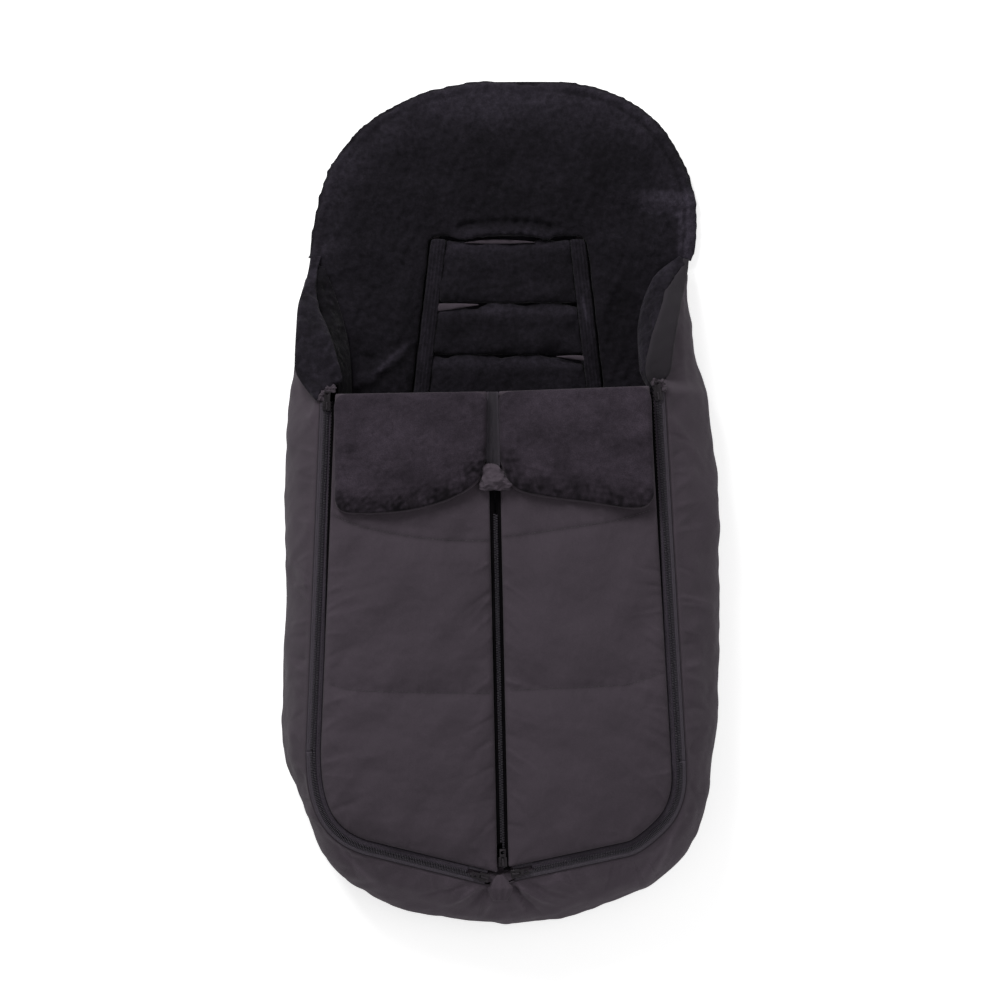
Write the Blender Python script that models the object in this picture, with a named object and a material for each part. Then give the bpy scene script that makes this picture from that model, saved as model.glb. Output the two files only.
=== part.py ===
"""Stroller footmuff: a padded foot sack for a pushchair, lying flat on its back.

Metres, +Z up, head end towards +Y. The origin lies on the ground under the middle of the outline.
The back rests on two grip strips, the walls rise from it to a ring of zips, and two quilted cover
halves with folded cuffs close the top. The hood beyond the neck line folds forward.
"""

import math
from dataclasses import dataclass

import bmesh
import bpy
from mathutils import Matrix, Vector

# Overall outline
LENGTH = 0.970
WIDTH = 0.504
HALF_LENGTH = LENGTH / 2
HALF_WIDTH = WIDTH / 2

# Gap between touching pieces
GAP = 0.0003

# Layers of the back, from the ground up
GRIP_THICKNESS = 0.0018
SHEET_THICKNESS = 0.0022
WADDING_THICKNESS = 0.011
FLEECE_THICKNESS = 0.004
SHELL_LOW = GRIP_THICKNESS + GAP
SHELL_TOP = SHELL_LOW + SHEET_THICKNESS
WADDING_LOW = SHELL_TOP + GAP
WADDING_TOP = WADDING_LOW + WADDING_THICKNESS
LINING_LOW = WADDING_TOP + GAP
LINING_TOP = LINING_LOW + FLEECE_THICKNESS

# Walls
ZIP_HEIGHT = 0.118
WALL_TOP = ZIP_HEIGHT - GAP
WALL_EDGE = 0.007
WALL_MIDDLE = 0.016
WALL_LINING = 0.004
WALL_LINING_CLEARANCE = 0.0006
WALL_FOOT_INSET = 0.016
WALL_LEAST_BULGE = 0.002
WALL_SPACING = 0.032
CORNER_SPACING = 0.022
SEAM_OFFSET = 0.008
FACING_THICKNESS = 0.0012
ROLL_RADIUS = 0.0065
ROLL_END_RADIUS = 0.0035
ROLL_SPACING = 0.014
ROLL_START = 0.022
ROLL_END = 0.040
ROLL_CLEARANCE = 0.0008

# Zips, measured from the middle line of the zip
SLOT_HALF = 0.0007
TAPE_REACH = 0.0074
TAPE_THICKNESS = 0.0012
COIL_REACH = 0.0033
COIL_HEIGHT = 0.002
CENTRE_TAPE_REACH = 0.0057
SLIDER_ROOM = 0.020

# Cover halves
COVER_SIDE_CLEARANCE = 0.0004
COVER_SIDE_REACH = TAPE_REACH + COVER_SIDE_CLEARANCE
COVER_CENTRE_REACH = CENTRE_TAPE_REACH + GAP
COVER_DROP = 0.0005
COVER_EDGE = 0.006
COVER_FLAT = 0.008
COVER_CROWN = 0.018
COVER_LINING_EDGE = 0.0042
COVER_LINING_MIDDLE = 0.0112
CHANNEL_DEPTH = 0.006
CHANNEL_WIDTH = 0.012
CUFF_ZONE = 0.146
CUFF_RAMP = 0.045

# Cuffs
CUFF_CLEARANCE = 0.0002
CUFF_AXIS_RISE = COVER_FLAT + CUFF_CLEARANCE
CUFF_RISE = CUFF_AXIS_RISE + CUFF_CLEARANCE
CUFF_SHELL = 0.006
CUFF_LINING_EDGE = 0.0025
CUFF_LINING_CROWN = 0.0153
CUFF_MARGIN = 0.0108
CUFF_TAPE_WIDTH = 0.005
GARAGE_HEIGHT = 0.0156

# Harness openings in the back
HARNESS_CENTRE = 0.008
HARNESS_TOP = 0.303
HARNESS_BOTTOM = 0.040
HARNESS_HALF_TOP = 0.072
HARNESS_HALF_BOTTOM = 0.1016
STRIP_WIDTH = 0.016
STRIP_RISE = 0.0011
FLAP_THICKNESS = 0.0145
FLAP_ROUNDING = 0.002
CROTCH_CENTRE = -0.002
CROTCH_TOP = -0.062
CROTCH_BOTTOM = -0.118
CROTCH_HALF = 0.045
CROTCH_SLOT = 0.008

# Hood and neck
HOOD_HINGE_Y = 0.318
BINDING_RADIUS = 0.006
HOOD_CROWN = 0.006
HOOD_DRAW = 0.002
NECK_START = 0.008
POCKET_INSET = 0.034
POCKET_START = 0.020
BINDING_END = 0.0012

# Grip strips under the back
GRIP_WIDTH = 0.036
GRIP_INSET = 0.102
GRIP_OFFSET = HALF_WIDTH - GRIP_INSET
GRIP_LOW = -0.340
GRIP_HIGH = 0.300

# Slider body: half widths across the zip, rises above the underside of the tape
SLIDER_HALF = 0.0048
SLIDER_LENGTH = 0.011
SLIDER_CHEEK = 0.0012
SLIDER_SKIRT = TAPE_THICKNESS + GAP
SLIDER_ROOF_LOW = TAPE_THICKNESS + COIL_HEIGHT + GAP
SLIDER_ROOF = 0.0014
SLIDER_PLATE = 0.0012
SLIDER_PLATE_HALF = 0.0044
SLIDER_NECK_HALF = 0.0004
SLIDER_NECK_LENGTH = 0.0032
SLIDER_OVERLAP = 0.0005
BAIL_HALF = 0.001
BAIL_LENGTH = 0.0084
BAIL_LEG = 0.0013
BAIL_RISE = 0.0037
BAIL_BAR = 0.0011

# Pull tabs
PULL_AXIS_RISE = 0.0062
PULL_THICKNESS = 0.0016
PULL_WIDTH = 0.007
PULL_BAR = 0.0014
PULL_WINDOW_HALF = 0.0016
PULL_WINDOW_END = 0.0056
PULL_LONG = 0.026
PULL_SHORT = 0.015
PULL_HOLE_RADIUS = 0.0022
PULL_HOLE_MARGIN = 0.0042

# Cut overrun of every cutter
OVERRUN = 0.002

# Closed outline seen from above, counter-clockwise from the head end
OUTLINE_SHARES = (
    (0.087, 1.000), (-0.306, 0.981), (-0.598, 0.905), (-0.758, 0.810), (-0.831, 0.709),
    (-0.872, 0.597), (-0.885, 0.545), (-0.913, 0.483), (-0.945, 0.301), (-0.973, 0.182),
    (-0.986, 0.052), (-0.979, -0.232), (-0.995, -0.469), (-0.995, -0.552), (-0.963, -0.635),
    (-0.900, -0.718), (-0.826, -0.808), (-0.726, -0.889), (-0.530, -0.950), (-0.283, -0.983),
    (0.018, -1.000), (0.269, -0.988), (0.507, -0.945), (0.689, -0.910), (0.826, -0.844),
    (0.909, -0.754), (0.963, -0.635), (0.991, -0.505), (0.993, -0.351), (0.995, -0.185),
    (0.991, 0.005), (0.968, 0.147), (0.922, 0.277), (0.877, 0.384), (0.852, 0.479),
    (0.860, 0.555), (0.884, 0.609), (0.890, 0.668), (0.877, 0.727), (0.836, 0.799),
    (0.680, 0.917), (0.429, 0.986),
)
OUTLINE_STEPS = 3

# Corner of each zip: top, end of the straight side run, corner, start of the foot run, foot end
LEFT_ZIP_SHARES = (
    (-0.790, 0.237), (-0.854, -0.588), (-0.840, -0.680), (-0.795, -0.746), (-0.721, -0.789),
    (-0.621, -0.815), (-0.068, -0.886),
)
RIGHT_ZIP_SHARES = (
    (0.712, 0.261), (0.808, -0.611), (0.806, -0.680), (0.767, -0.737), (0.689, -0.782),
    (0.589, -0.818), (0.059, -0.877),
)
CORNER_STEPS = 3
CENTRE_ZIP_SHARES = ((-0.037, 0.261), (0.009, -0.867))
FOOT_SEAM_SHARE = (-0.004, -0.907)

# Tops of the open wings from the zip up to the hood, with their height and the inset of their foot
LEFT_WING_SHARES = (
    (-0.845, 0.270), (-0.897, 0.332), (-0.917, 0.408), (-0.901, 0.478), (-0.857, 0.548),
)
RIGHT_WING_SHARES = (
    (0.744, 0.313), (0.748, 0.371), (0.781, 0.443), (0.812, 0.505), (0.828, 0.550),
)
WING_HEIGHT_SHARES = (0.90, 0.86, 0.72, 0.50, 0.20)
LEFT_WING_INSETS_SHARE = (0.75, 1.0, 1.0, 0.8, 0.3)
RIGHT_WING_INSETS_SHARE = (0.9, 1.0, 1.0, 0.9, 0.5)
LEFT_WING_INSET = 0.034
RIGHT_WING_INSET = 0.020
WALL_SHOULDER_SHARE = 0.45
WALL_STEPS = 5
FACING_STEPS = 3
FACING_SHARE = 0.7

# Fold line of each cuff from the centre out, then its lower edge from the centre out
LEFT_FOLD_SHARES = ((-0.055, 0.261), (-0.781, 0.255))
RIGHT_FOLD_SHARES = ((-0.018, 0.261), (0.703, 0.275))
LEFT_CUFF_SHARES = (
    (-0.068, 0.083), (-0.092, 0.060), (-0.135, 0.038), (-0.215, 0.012), (-0.370, -0.014),
    (-0.553, -0.026), (-0.753, -0.024),
)
RIGHT_CUFF_SHARES = (
    (-0.004, 0.083), (0.032, 0.052), (0.087, 0.028), (0.201, 0.014), (0.406, 0.000),
    (0.589, -0.014), (0.697, -0.009),
)
GARAGE_SHARES = ((-0.055, 0.081), (-0.078, 0.031), (0.046, 0.031), (-0.026, 0.081))

# Harness flaps as shares of the window, each from its lower edge to its upper edge
FLAP_SHARES = ((0.722, 0.973), (0.494, 0.688), (0.255, 0.460), (0.008, 0.221))

# Quilting channels of the cover, as shares of its length from the fold
CHANNEL_SHARES = (0.30, 0.622)
COVER_COLUMNS = 8
COVER_ROWS = 24
COVER_EVEN_SHARE = 0.7
COVER_EVEN_LIMIT_SHARE = 0.9
LINING_COLUMNS = 6
LINING_ROWS = 12
CUFF_COLUMNS = 8
CUFF_ROWS = 5
DOME_POWER = 0.4
FOOT_DOME_SHARE = 0.12
PAD_RING_SHARES = (1.0, 0.93, 0.78, 0.55, 0.28)

# Ranges of the sliders along their zips
SIDE_SLIDER_REST = 0.005
FOOT_SLIDER_REST = 0.002
CENTRE_SLIDER_REST = 0.009

# Material colours, roughness and metallic value
SHELL_FABRIC = ((0.048, 0.038, 0.048), 0.92, 0.0)
FLEECE_FABRIC = ((0.010, 0.008, 0.012), 1.0, 0.0)
CUFF_FLEECE = ((0.031, 0.026, 0.033), 1.0, 0.0)
FACING_FABRIC = ((0.031, 0.026, 0.034), 0.9, 0.0)
WADDING_FIBRE = ((0.60, 0.60, 0.58), 1.0, 0.0)
ZIP_TAPE = ((0.026, 0.022, 0.030), 0.8, 0.0)
SLIDER_METAL = ((0.030, 0.028, 0.032), 0.45, 0.8)
GRIP_RUBBER = ((0.020, 0.020, 0.020), 0.7, 0.0)
BINDING_FABRIC = ((0.028, 0.023, 0.030), 0.95, 0.0)


@dataclass(frozen=True)
class Side:
    """One side of the footmuff: its name, the sign of its X and the tables that shape it."""

    name: str
    sign: int
    zip_shares: tuple
    wing_shares: tuple
    wing_inset: float
    wing_inset_shares: tuple
    fold_shares: tuple
    cuff_shares: tuple


LEFT = Side("left", -1, LEFT_ZIP_SHARES, LEFT_WING_SHARES, LEFT_WING_INSET,
            LEFT_WING_INSETS_SHARE, LEFT_FOLD_SHARES, LEFT_CUFF_SHARES)
RIGHT = Side("right", 1, RIGHT_ZIP_SHARES, RIGHT_WING_SHARES, RIGHT_WING_INSET,
             RIGHT_WING_INSETS_SHARE, RIGHT_FOLD_SHARES, RIGHT_CUFF_SHARES)
SIDES = (LEFT, RIGHT)


@dataclass(frozen=True)
class Station:
    """A place on the wall's top seam, with the outward direction and the shape of the wall there."""

    point: Vector
    outward: Vector
    bulge: float
    height: float
    inset: float


def clear_scene():
    """Removes every object, so that the model starts from an empty scene."""
    for item in list(bpy.data.objects):
        bpy.data.objects.remove(item, do_unlink=True)


def place(share):
    """The point at a pair of shares of the half width and the half length."""
    return Vector((share[0] * HALF_WIDTH, share[1] * HALF_LENGTH))


def places(shares):
    """The points at a table of shares."""
    return [place(share) for share in shares]


def spline_point(before, start, end, after, share):
    """A point on the centripetal curve from start to end, shaped by the points beside them."""
    first = 0
    second = first + math.sqrt(max((start - before).length, GAP))
    third = second + math.sqrt(max((end - start).length, GAP))
    fourth = third + math.sqrt(max((after - end).length, GAP))
    now = second + (third - second) * share
    low = before.lerp(start, (now - first) / (second - first))
    middle = start.lerp(end, (now - second) / (third - second))
    high = end.lerp(after, (now - third) / (fourth - third))
    low = low.lerp(middle, (now - first) / (third - first))
    high = middle.lerp(high, (now - second) / (fourth - second))
    return low.lerp(high, (now - second) / (third - second))


def spline(points, steps):
    """An open smooth curve through points, with a number of steps between each two."""
    ends = [points[0] * 2 - points[1]] + list(points) + [points[-1] * 2 - points[-2]]
    curve = []
    for index in range(1, len(ends) - 2):
        for step in range(steps):
            curve.append(spline_point(*ends[index - 1:index + 3], step / steps))
    curve.append(points[-1].copy())
    return curve


def closed_spline(points, steps):
    """A closed smooth curve through points."""
    count = len(points)
    curve = []
    for index in range(count):
        four = [points[(index + shift) % count] for shift in (-1, 0, 1, 2)]
        for step in range(steps):
            curve.append(spline_point(*four, step / steps))
    return curve


def resample(points, count):
    """A number of equal steps along an open line of points."""
    lengths = [(after - before).length for before, after in zip(points, points[1:])]
    total = sum(lengths)
    result = [points[0].copy()]
    index = 0
    passed = 0
    for step in range(1, count):
        target = total * step / count
        while passed + lengths[index] < target:
            passed += lengths[index]
            index += 1
        result.append(points[index].lerp(points[index + 1], (target - passed) / lengths[index]))
    result.append(points[-1].copy())
    return result


def line_length(points):
    """Length along an open line of points."""
    return sum((after - before).length for before, after in zip(points, points[1:]))


def spaced(points, spacing):
    """Equal steps along an open line, about the given spacing apart."""
    return resample(points, max(1, round(line_length(points) / spacing)))


def at_shares(points, shares):
    """Points at given shares of the length of an open line."""
    lengths = [(after - before).length for before, after in zip(points, points[1:])]
    total = sum(lengths)
    result = []
    for share in shares:
        target = total * share
        index = 0
        while index < len(lengths) - 1 and lengths[index] < target:
            target -= lengths[index]
            index += 1
        result.append(points[index].lerp(points[index + 1], min(1, target / lengths[index])))
    return result


def turn_right(direction):
    """A direction in plan, turned a quarter clockwise."""
    return Vector((direction.y, -direction.x))


def headings(points):
    """Unit direction of travel at each point of an open line."""
    result = []
    for index in range(len(points)):
        before = points[max(index - 1, 0)]
        after = points[min(index + 1, len(points) - 1)]
        result.append((after - before).normalized())
    return result


def offset(points, distance, sign):
    """An open line moved outwards, for a line that runs from the head end to the foot end."""
    moved = []
    for point, heading in zip(points, headings(points)):
        moved.append(point - turn_right(heading) * distance * sign)
    return moved


def outline_loop():
    """The closed outline, fitted exactly to the length and the width."""
    points = closed_spline(places(OUTLINE_SHARES), OUTLINE_STEPS)
    low_x = min(point.x for point in points)
    high_x = max(point.x for point in points)
    low_y = min(point.y for point in points)
    high_y = max(point.y for point in points)
    fitted = []
    for point in points:
        across = (point.x - low_x) / (high_x - low_x) * WIDTH - HALF_WIDTH
        along = (point.y - low_y) / (high_y - low_y) * LENGTH - HALF_LENGTH
        fitted.append(Vector((across, along)))
    return fitted


def inset_loop(loop, distance):
    """A counter-clockwise closed loop moved inwards."""
    count = len(loop)
    moved = []
    for index in range(count):
        heading = (loop[(index + 1) % count] - loop[index - 1]).normalized()
        moved.append(loop[index] - turn_right(heading) * distance)
    return moved


def level_crossing(start, end, level):
    """The point where a short line crosses a level of Y."""
    return start.lerp(end, (level - start.y) / (end.y - start.y))


def above(loop, level):
    """The part of a closed loop above a level of Y, from its right end round to its left end."""
    count = len(loop)
    index = next(i for i in range(count) if loop[i - 1].y < level <= loop[i].y)
    part = [level_crossing(loop[index - 1], loop[index], level)]
    while loop[index % count].y >= level:
        part.append(loop[index % count])
        index += 1
    part.append(level_crossing(loop[(index - 1) % count], loop[index % count], level))
    return part


def between(loop, sign, low, high):
    """The part of a closed loop on one side between two levels of Y, upwards."""
    part = above(loop, low)
    if sign < 0:
        part.reverse()
    result = []
    for before, after in zip(part, part[1:]):
        result.append(before)
        if after.y >= high:
            result.append(level_crossing(before, after, high))
            break
    return result


def reach_to(loop, start, direction):
    """Distance from a point along a direction to a closed loop."""
    nearest = math.inf
    for index, here in enumerate(loop):
        edge = here - loop[index - 1]
        across = direction.cross(edge)
        if across == 0:
            continue
        away = loop[index - 1] - start
        distance = away.cross(edge) / across
        share = away.cross(direction) / across
        if distance > 0 and 0 <= share <= 1:
            nearest = min(nearest, distance)
    return nearest


def line_meeting(first_start, first_end, second_start, second_end):
    """Where two straight lines cross in plan."""
    first = first_end - first_start
    second = second_end - second_start
    share = (second_start - first_start).cross(second) / first.cross(second)
    return first_start + first * share


def finish(name, settings):
    """A Principled material of one colour, roughness and metallic value."""
    colour, roughness, metallic = settings
    material = bpy.data.materials.new(name)
    material.use_nodes = True
    shader = material.node_tree.nodes["Principled BSDF"]
    shader.inputs["Base Color"].default_value = (*colour, 1)
    shader.inputs["Roughness"].default_value = roughness
    shader.inputs["Metallic"].default_value = metallic
    return material


def add_object(name, data, settings):
    """Links a mesh or a curve as one named object with its own material."""
    item = bpy.data.objects.new(name, data)
    bpy.context.scene.collection.objects.link(item)
    data.materials.append(finish(name, settings))
    return item


def add_solid(name, work, settings, smooth_angle=None):
    """Turns a bmesh into a named object with its faces outwards."""
    bmesh.ops.recalc_face_normals(work, faces=work.faces)
    mesh = bpy.data.meshes.new(name)
    work.to_mesh(mesh)
    work.free()
    if smooth_angle is not None:
        mesh.shade_smooth()
        mesh.set_sharp_from_angle(angle=smooth_angle)
    return add_object(name, mesh, settings)


SOFT_ANGLE = math.radians(50)


def add_loft(work, rings):
    """Joins rings of points into one closed body in a bmesh, with a flat face on each end."""
    made = [[work.verts.new(point) for point in ring] for ring in rings]
    for lower, upper in zip(made, made[1:]):
        for index in range(len(lower)):
            work.faces.new((lower[index - 1], lower[index], upper[index]))
            work.faces.new((lower[index - 1], upper[index], upper[index - 1]))
    work.faces.new(made[0])
    work.faces.new(made[-1])


def loft(name, rings, settings, smooth_angle=SOFT_ANGLE):
    """One solid through a row of rings."""
    work = bmesh.new()
    add_loft(work, rings)
    return add_solid(name, work, settings, smooth_angle)


def prism_mesh(work, corners, low, high):
    """Adds an upright prism over a plan outline to a bmesh by extrusion."""
    base = work.faces.new([work.verts.new((corner.x, corner.y, low)) for corner in corners])
    made = bmesh.ops.extrude_face_region(work, geom=[base])["geom"]
    raised = [item for item in made if isinstance(item, bmesh.types.BMVert)]
    bmesh.ops.translate(work, verts=raised, vec=Vector((0, 0, high - low)))


def plate(name, corners, low, high, settings):
    """A flat plate with a plan outline."""
    work = bmesh.new()
    prism_mesh(work, corners, low, high)
    return add_solid(name, work, settings)


def cutter(name, corners, low, high):
    """A hidden prism that cuts windows."""
    item = plate(name, corners, low, high, GRIP_RUBBER)
    item.hide_render = True
    item.display_type = "WIRE"
    return item


def cut(item, tool):
    """Cuts a tool's shape out of an object."""
    step = item.modifiers.new("window", "BOOLEAN")
    step.operation = "DIFFERENCE"
    step.solver = "EXACT"
    step.object = tool


def round_edges(item, width):
    """Rounds all edges of an object."""
    step = item.modifiers.new("rounding", "BEVEL")
    step.width = width
    step.segments = 2
    step.limit_method = "ANGLE"


def tube(name, line, radii, settings):
    """A round soft edge along a line of points, with a radius for each point."""
    curve = bpy.data.curves.new(name, "CURVE")
    curve.dimensions = "3D"
    curve.bevel_depth = 1
    curve.bevel_resolution = 2
    curve.use_fill_caps = True
    run = curve.splines.new("POLY")
    run.points.add(len(line) - 1)
    for knot, point, radius in zip(run.points, line, radii):
        knot.co = (*point, 1)
        knot.radius = radius
    return add_object(name, curve, settings)


def grid_solid(name, columns, tops, bottoms, settings):
    """A pad from two grids of points, rows by columns, closed round its edge."""
    rows = len(tops) // (columns + 1) - 1
    work = bmesh.new()
    upper = [work.verts.new(point) for point in tops]
    lower = [work.verts.new(point) for point in bottoms]

    def at(layer, row, column):
        return layer[row * (columns + 1) + column]

    for row in range(rows):
        for column in range(columns):
            for layer in (upper, lower):
                work.faces.new((at(layer, row, column), at(layer, row, column + 1),
                                at(layer, row + 1, column + 1), at(layer, row + 1, column)))
    rim = [(0, column) for column in range(columns)]
    rim += [(row, columns) for row in range(rows)]
    rim += [(rows, columns - column) for column in range(columns)]
    rim += [(rows - row, 0) for row in range(rows)]
    for index in range(len(rim)):
        here = rim[index]
        before = rim[index - 1]
        work.faces.new((at(upper, *before), at(upper, *here), at(lower, *here), at(lower, *before)))
    return add_solid(name, work, settings, SOFT_ANGLE)


def patch(inner, outer, top, bottom):
    """A grid of plan points filled between four edges: rows from top to bottom, inner to outer."""
    rows = len(inner) - 1
    columns = len(top) - 1
    points = []
    for row in range(rows + 1):
        down = row / rows
        for column in range(columns + 1):
            out = column / columns
            edge = top[column].lerp(bottom[column], down) + inner[row].lerp(outer[row], out)
            upper = top[0].lerp(top[-1], out)
            lower = bottom[0].lerp(bottom[-1], out)
            points.append(edge - upper.lerp(lower, down))
    return points


def dome(share):
    """A rounded rise from 0 at both ends to 1 in the middle."""
    return (4 * share * (1 - share)) ** DOME_POWER


def ringed_pad(name, outline, low, high, settings, crown=0, lower_crown=0, draw=0):
    """A crowned pad over a plan outline: rings drawn towards its middle, sides drawn in."""
    centre = sum(outline, Vector((0, 0))) / len(outline)
    work = bmesh.new()

    def ring(share, level, inward=0):
        made = []
        for point in outline:
            arm = point - centre
            spot = centre + arm * share - arm.normalized() * inward
            made.append(work.verts.new((spot.x, spot.y, level)))
        return made

    rings = []
    for share in reversed(PAD_RING_SHARES):
        rings.append(ring(share, low + lower_crown * (1 - share * share), draw if share == 1 else 0))
    rings.append(ring(1, low + (high - low) / 2))
    for share in PAD_RING_SHARES:
        rings.append(ring(share, high + crown * (1 - share * share), draw if share == 1 else 0))
    for lower, upper in zip(rings, rings[1:]):
        for index in range(len(lower)):
            work.faces.new((lower[index - 1], lower[index], upper[index], upper[index - 1]))
    tip = work.verts.new((centre.x, centre.y, high + crown))
    root = work.verts.new((centre.x, centre.y, low + lower_crown))
    for ends, point in ((rings[-1], tip), (rings[0], root)):
        for index in range(len(ends)):
            work.faces.new((ends[index - 1], ends[index], point))
    return add_solid(name, work, settings, SOFT_ANGLE)


def raised(points, level):
    """Plan points lifted to a level."""
    return [Vector((point.x, point.y, level)) for point in points]


# Joints


def joint(name, spot, direction, parent=None):
    """An empty on a joint's axis, with its own X along the axis."""
    item = bpy.data.objects.new(name, None)
    bpy.context.scene.collection.objects.link(item)
    turn = Vector((1, 0, 0)).rotation_difference(Vector(direction).normalized())
    world = Matrix.Translation(Vector(spot)) @ turn.to_matrix().to_4x4()
    if parent is not None:
        item.parent = parent
        item.matrix_parent_inverse = parent.matrix_world.inverted()
    item.matrix_world = world
    bpy.context.view_layer.update()
    return item


def carry(holder, *items):
    """Hangs objects on a joint's empty without moving them."""
    for item in items:
        item.parent = holder
        item.matrix_parent_inverse = holder.matrix_world.inverted()


# Zip lines


def zip_straight(side):
    """Both ends of the straight side run of a zip."""
    return places(side.zip_shares[:2])


def zip_corner(side):
    """The curved corner of a zip between its straight runs, both ends included."""
    points = places(side.zip_shares)
    start = points[1].lerp(points[0], (points[2] - points[1]).length / (points[1] - points[0]).length)
    end = points[-2].lerp(points[-1], (points[-2] - points[-3]).length / (points[-1] - points[-2]).length)
    curve = spline([start, *points[1:-1], end], CORNER_STEPS)
    return curve[CORNER_STEPS:-CORNER_STEPS]


def zip_foot(side):
    """Both ends of the straight foot run of a zip."""
    return places(side.zip_shares[-2:])


def zip_line(side):
    """The whole line of a zip from the head end round to the foot."""
    return [zip_straight(side)[0], *zip_corner(side), zip_foot(side)[1]]


def centre_line():
    """Both ends of the centre zip, from the head end down."""
    return places(CENTRE_ZIP_SHARES)


def hinge_line(side):
    """The seam that a cover half swings about: both ends, on the outer edge of its side zip."""
    return offset(zip_straight(side), SEAM_OFFSET, side.sign)


def strip_section(inner, outer, coil_inner, coil_outer, base, up):
    """Corners of a zip stringer's section: distance across and height, tape with its coil."""
    tape_top = base + TAPE_THICKNESS * up
    coil_top = tape_top + COIL_HEIGHT * up
    return [(inner, base), (outer, base), (outer, tape_top), (coil_outer, tape_top),
            (coil_outer, coil_top), (coil_inner, coil_top)]


def stringer_rings(line, section, sign):
    """A stringer's section set up at each point of a line from the head end to the foot end."""
    rings = []
    for point, heading in zip(line, headings(line)):
        outward = turn_right(heading) * -sign
        ring = []
        for across, level in section:
            spot = point + outward * across
            ring.append(Vector((spot.x, spot.y, level)))
        rings.append(ring)
    return rings


def stringer(name, line, near, far, sign, direction=1):
    """One half of a zip along a line; direction -1 puts it on the inner side of the line."""
    section = strip_section(near * direction, far * direction, near * direction,
                            COIL_REACH * direction, ZIP_HEIGHT, 1)
    return loft(name, stringer_rings(line, section, sign), ZIP_TAPE, math.radians(30))


# Walls


def seam_line(side):
    """The wall's top seam beside one zip, from the head end round to the foot."""
    return offset(zip_line(side), SEAM_OFFSET, side.sign)


def make_station(loop, point, outward, height, inset):
    """A wall station with its bulge measured out to the outline."""
    bulge = max(WALL_LEAST_BULGE, reach_to(loop, point, outward))
    return Station(point, outward, bulge, height, inset)


def wing_stations(loop, side):
    """Stations of an open wing, from its tip down to just above the zip."""
    points = [Vector((*place(share), WALL_TOP * height, side.wing_inset * inset))
              for share, height, inset in zip(side.wing_shares, WING_HEIGHT_SHARES,
                                              side.wing_inset_shares)]
    top = hinge_line(side)[0]
    points.insert(0, Vector((*top, WALL_TOP, WALL_FOOT_INSET)))
    points.reverse()
    curve = spaced(spline(points, WALL_STEPS), WALL_SPACING * FACING_SHARE)
    plan = [Vector((point.x, point.y)) for point in curve]
    result = []
    for point, spot, heading in zip(curve[:-1], plan, headings(plan)):
        result.append(make_station(loop, spot, turn_right(heading) * -side.sign, point.z, point.w))
    return result


def straight_stations(loop, side):
    """Stations along the straight side run."""
    line = hinge_line(side)
    outward = turn_right((line[1] - line[0]).normalized()) * -side.sign
    return [make_station(loop, point, outward, WALL_TOP, WALL_FOOT_INSET)
            for point in spaced(line, WALL_SPACING)]


def foot_stations(loop):
    """Stations from the left corner's start round the foot to the right corner's start."""
    line = []
    for side in SIDES:
        corner = spaced(offset(zip_corner(side), SEAM_OFFSET, side.sign), CORNER_SPACING)
        foot = spaced(offset(zip_foot(side), SEAM_OFFSET, side.sign), WALL_SPACING)
        part = corner[1:] + foot[1:]
        heading = (hinge_line(side)[1] - hinge_line(side)[0]).normalized()
        part.insert(0, hinge_line(side)[1] + heading * GAP)
        line += part if side.sign < 0 else [place(FOOT_SEAM_SHARE), *reversed(part)]
    result = []
    for index, (point, heading) in enumerate(zip(line, headings(line))):
        outward = turn_right(heading)
        if index == 0:
            outward = straight_outward(LEFT)
        if index == len(line) - 1:
            outward = straight_outward(RIGHT)
        result.append(make_station(loop, point, outward, WALL_TOP, WALL_FOOT_INSET))
    return result


def straight_outward(side):
    """Outward direction of the straight side run."""
    line = hinge_line(side)
    return turn_right((line[1] - line[0]).normalized()) * -side.sign


def wall_depth(share):
    """Thickness of the wall's padded shell at a share of its height curve."""
    return WALL_EDGE + (WALL_MIDDLE - WALL_EDGE) * math.sin(math.pi * share)


def wall_point(station, share, depth):
    """A point on or under the wall's outer face: depth is measured inwards, square to the face."""
    inset = station.inset
    bulge = station.bulge
    height = station.height
    foot = Vector((-inset, WADDING_LOW))
    shoulder = Vector((math.sqrt(inset * bulge), height * WALL_SHOULDER_SHARE))
    top = Vector((-bulge, height))
    spot = foot.lerp(shoulder, share).lerp(shoulder.lerp(top, share), share)
    rise = (shoulder.lerp(top, share) - foot.lerp(shoulder, share)).normalized()
    inward = Vector((-rise.y, rise.x)) if share > 0 else Vector((-1, 0))
    spot = spot + inward * depth
    plan = station.point + station.outward * (bulge + spot.x)
    return Vector((plan.x, plan.y, spot.y))


def wall_rings(stations, rising, falling):
    """Rings of one wall layer, up its one face and down its other, each with a depth by share."""
    rings = []
    for station in stations:
        shares = [step / WALL_STEPS for step in range(WALL_STEPS + 1)]
        first = [wall_point(station, share, rising(share)) for share in shares]
        second = [wall_point(station, share, falling(share)) for share in shares]
        rings.append(first + second[::-1])
    return rings


def wall(name, stations, settings, lining_settings):
    """A padded wall shell and its fleece lining, called NAME_shell and NAME_lining."""
    shell = loft(name + "_shell", wall_rings(stations, lambda share: 0, wall_depth), settings)
    near = WALL_LINING_CLEARANCE
    far = WALL_LINING_CLEARANCE + WALL_LINING
    lining = loft(name + "_lining",
                  wall_rings(stations, lambda share: wall_depth(share) + far,
                             lambda share: wall_depth(share) + near),
                  lining_settings)
    return shell, lining


def wing_facing(side, stations):
    """The facing band along the outer face of a wing's top."""
    rings = []
    for station in stations:
        shares = [FACING_SHARE + (1 - FACING_SHARE) * step / FACING_STEPS
                  for step in range(FACING_STEPS + 1)]
        near = [wall_point(station, share, -GAP) for share in shares]
        far = [wall_point(station, share, -GAP - FACING_THICKNESS) for share in shares]
        rings.append(near + far[::-1])
    return loft("wing_facing_" + side.name, rings, FACING_FABRIC)


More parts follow.
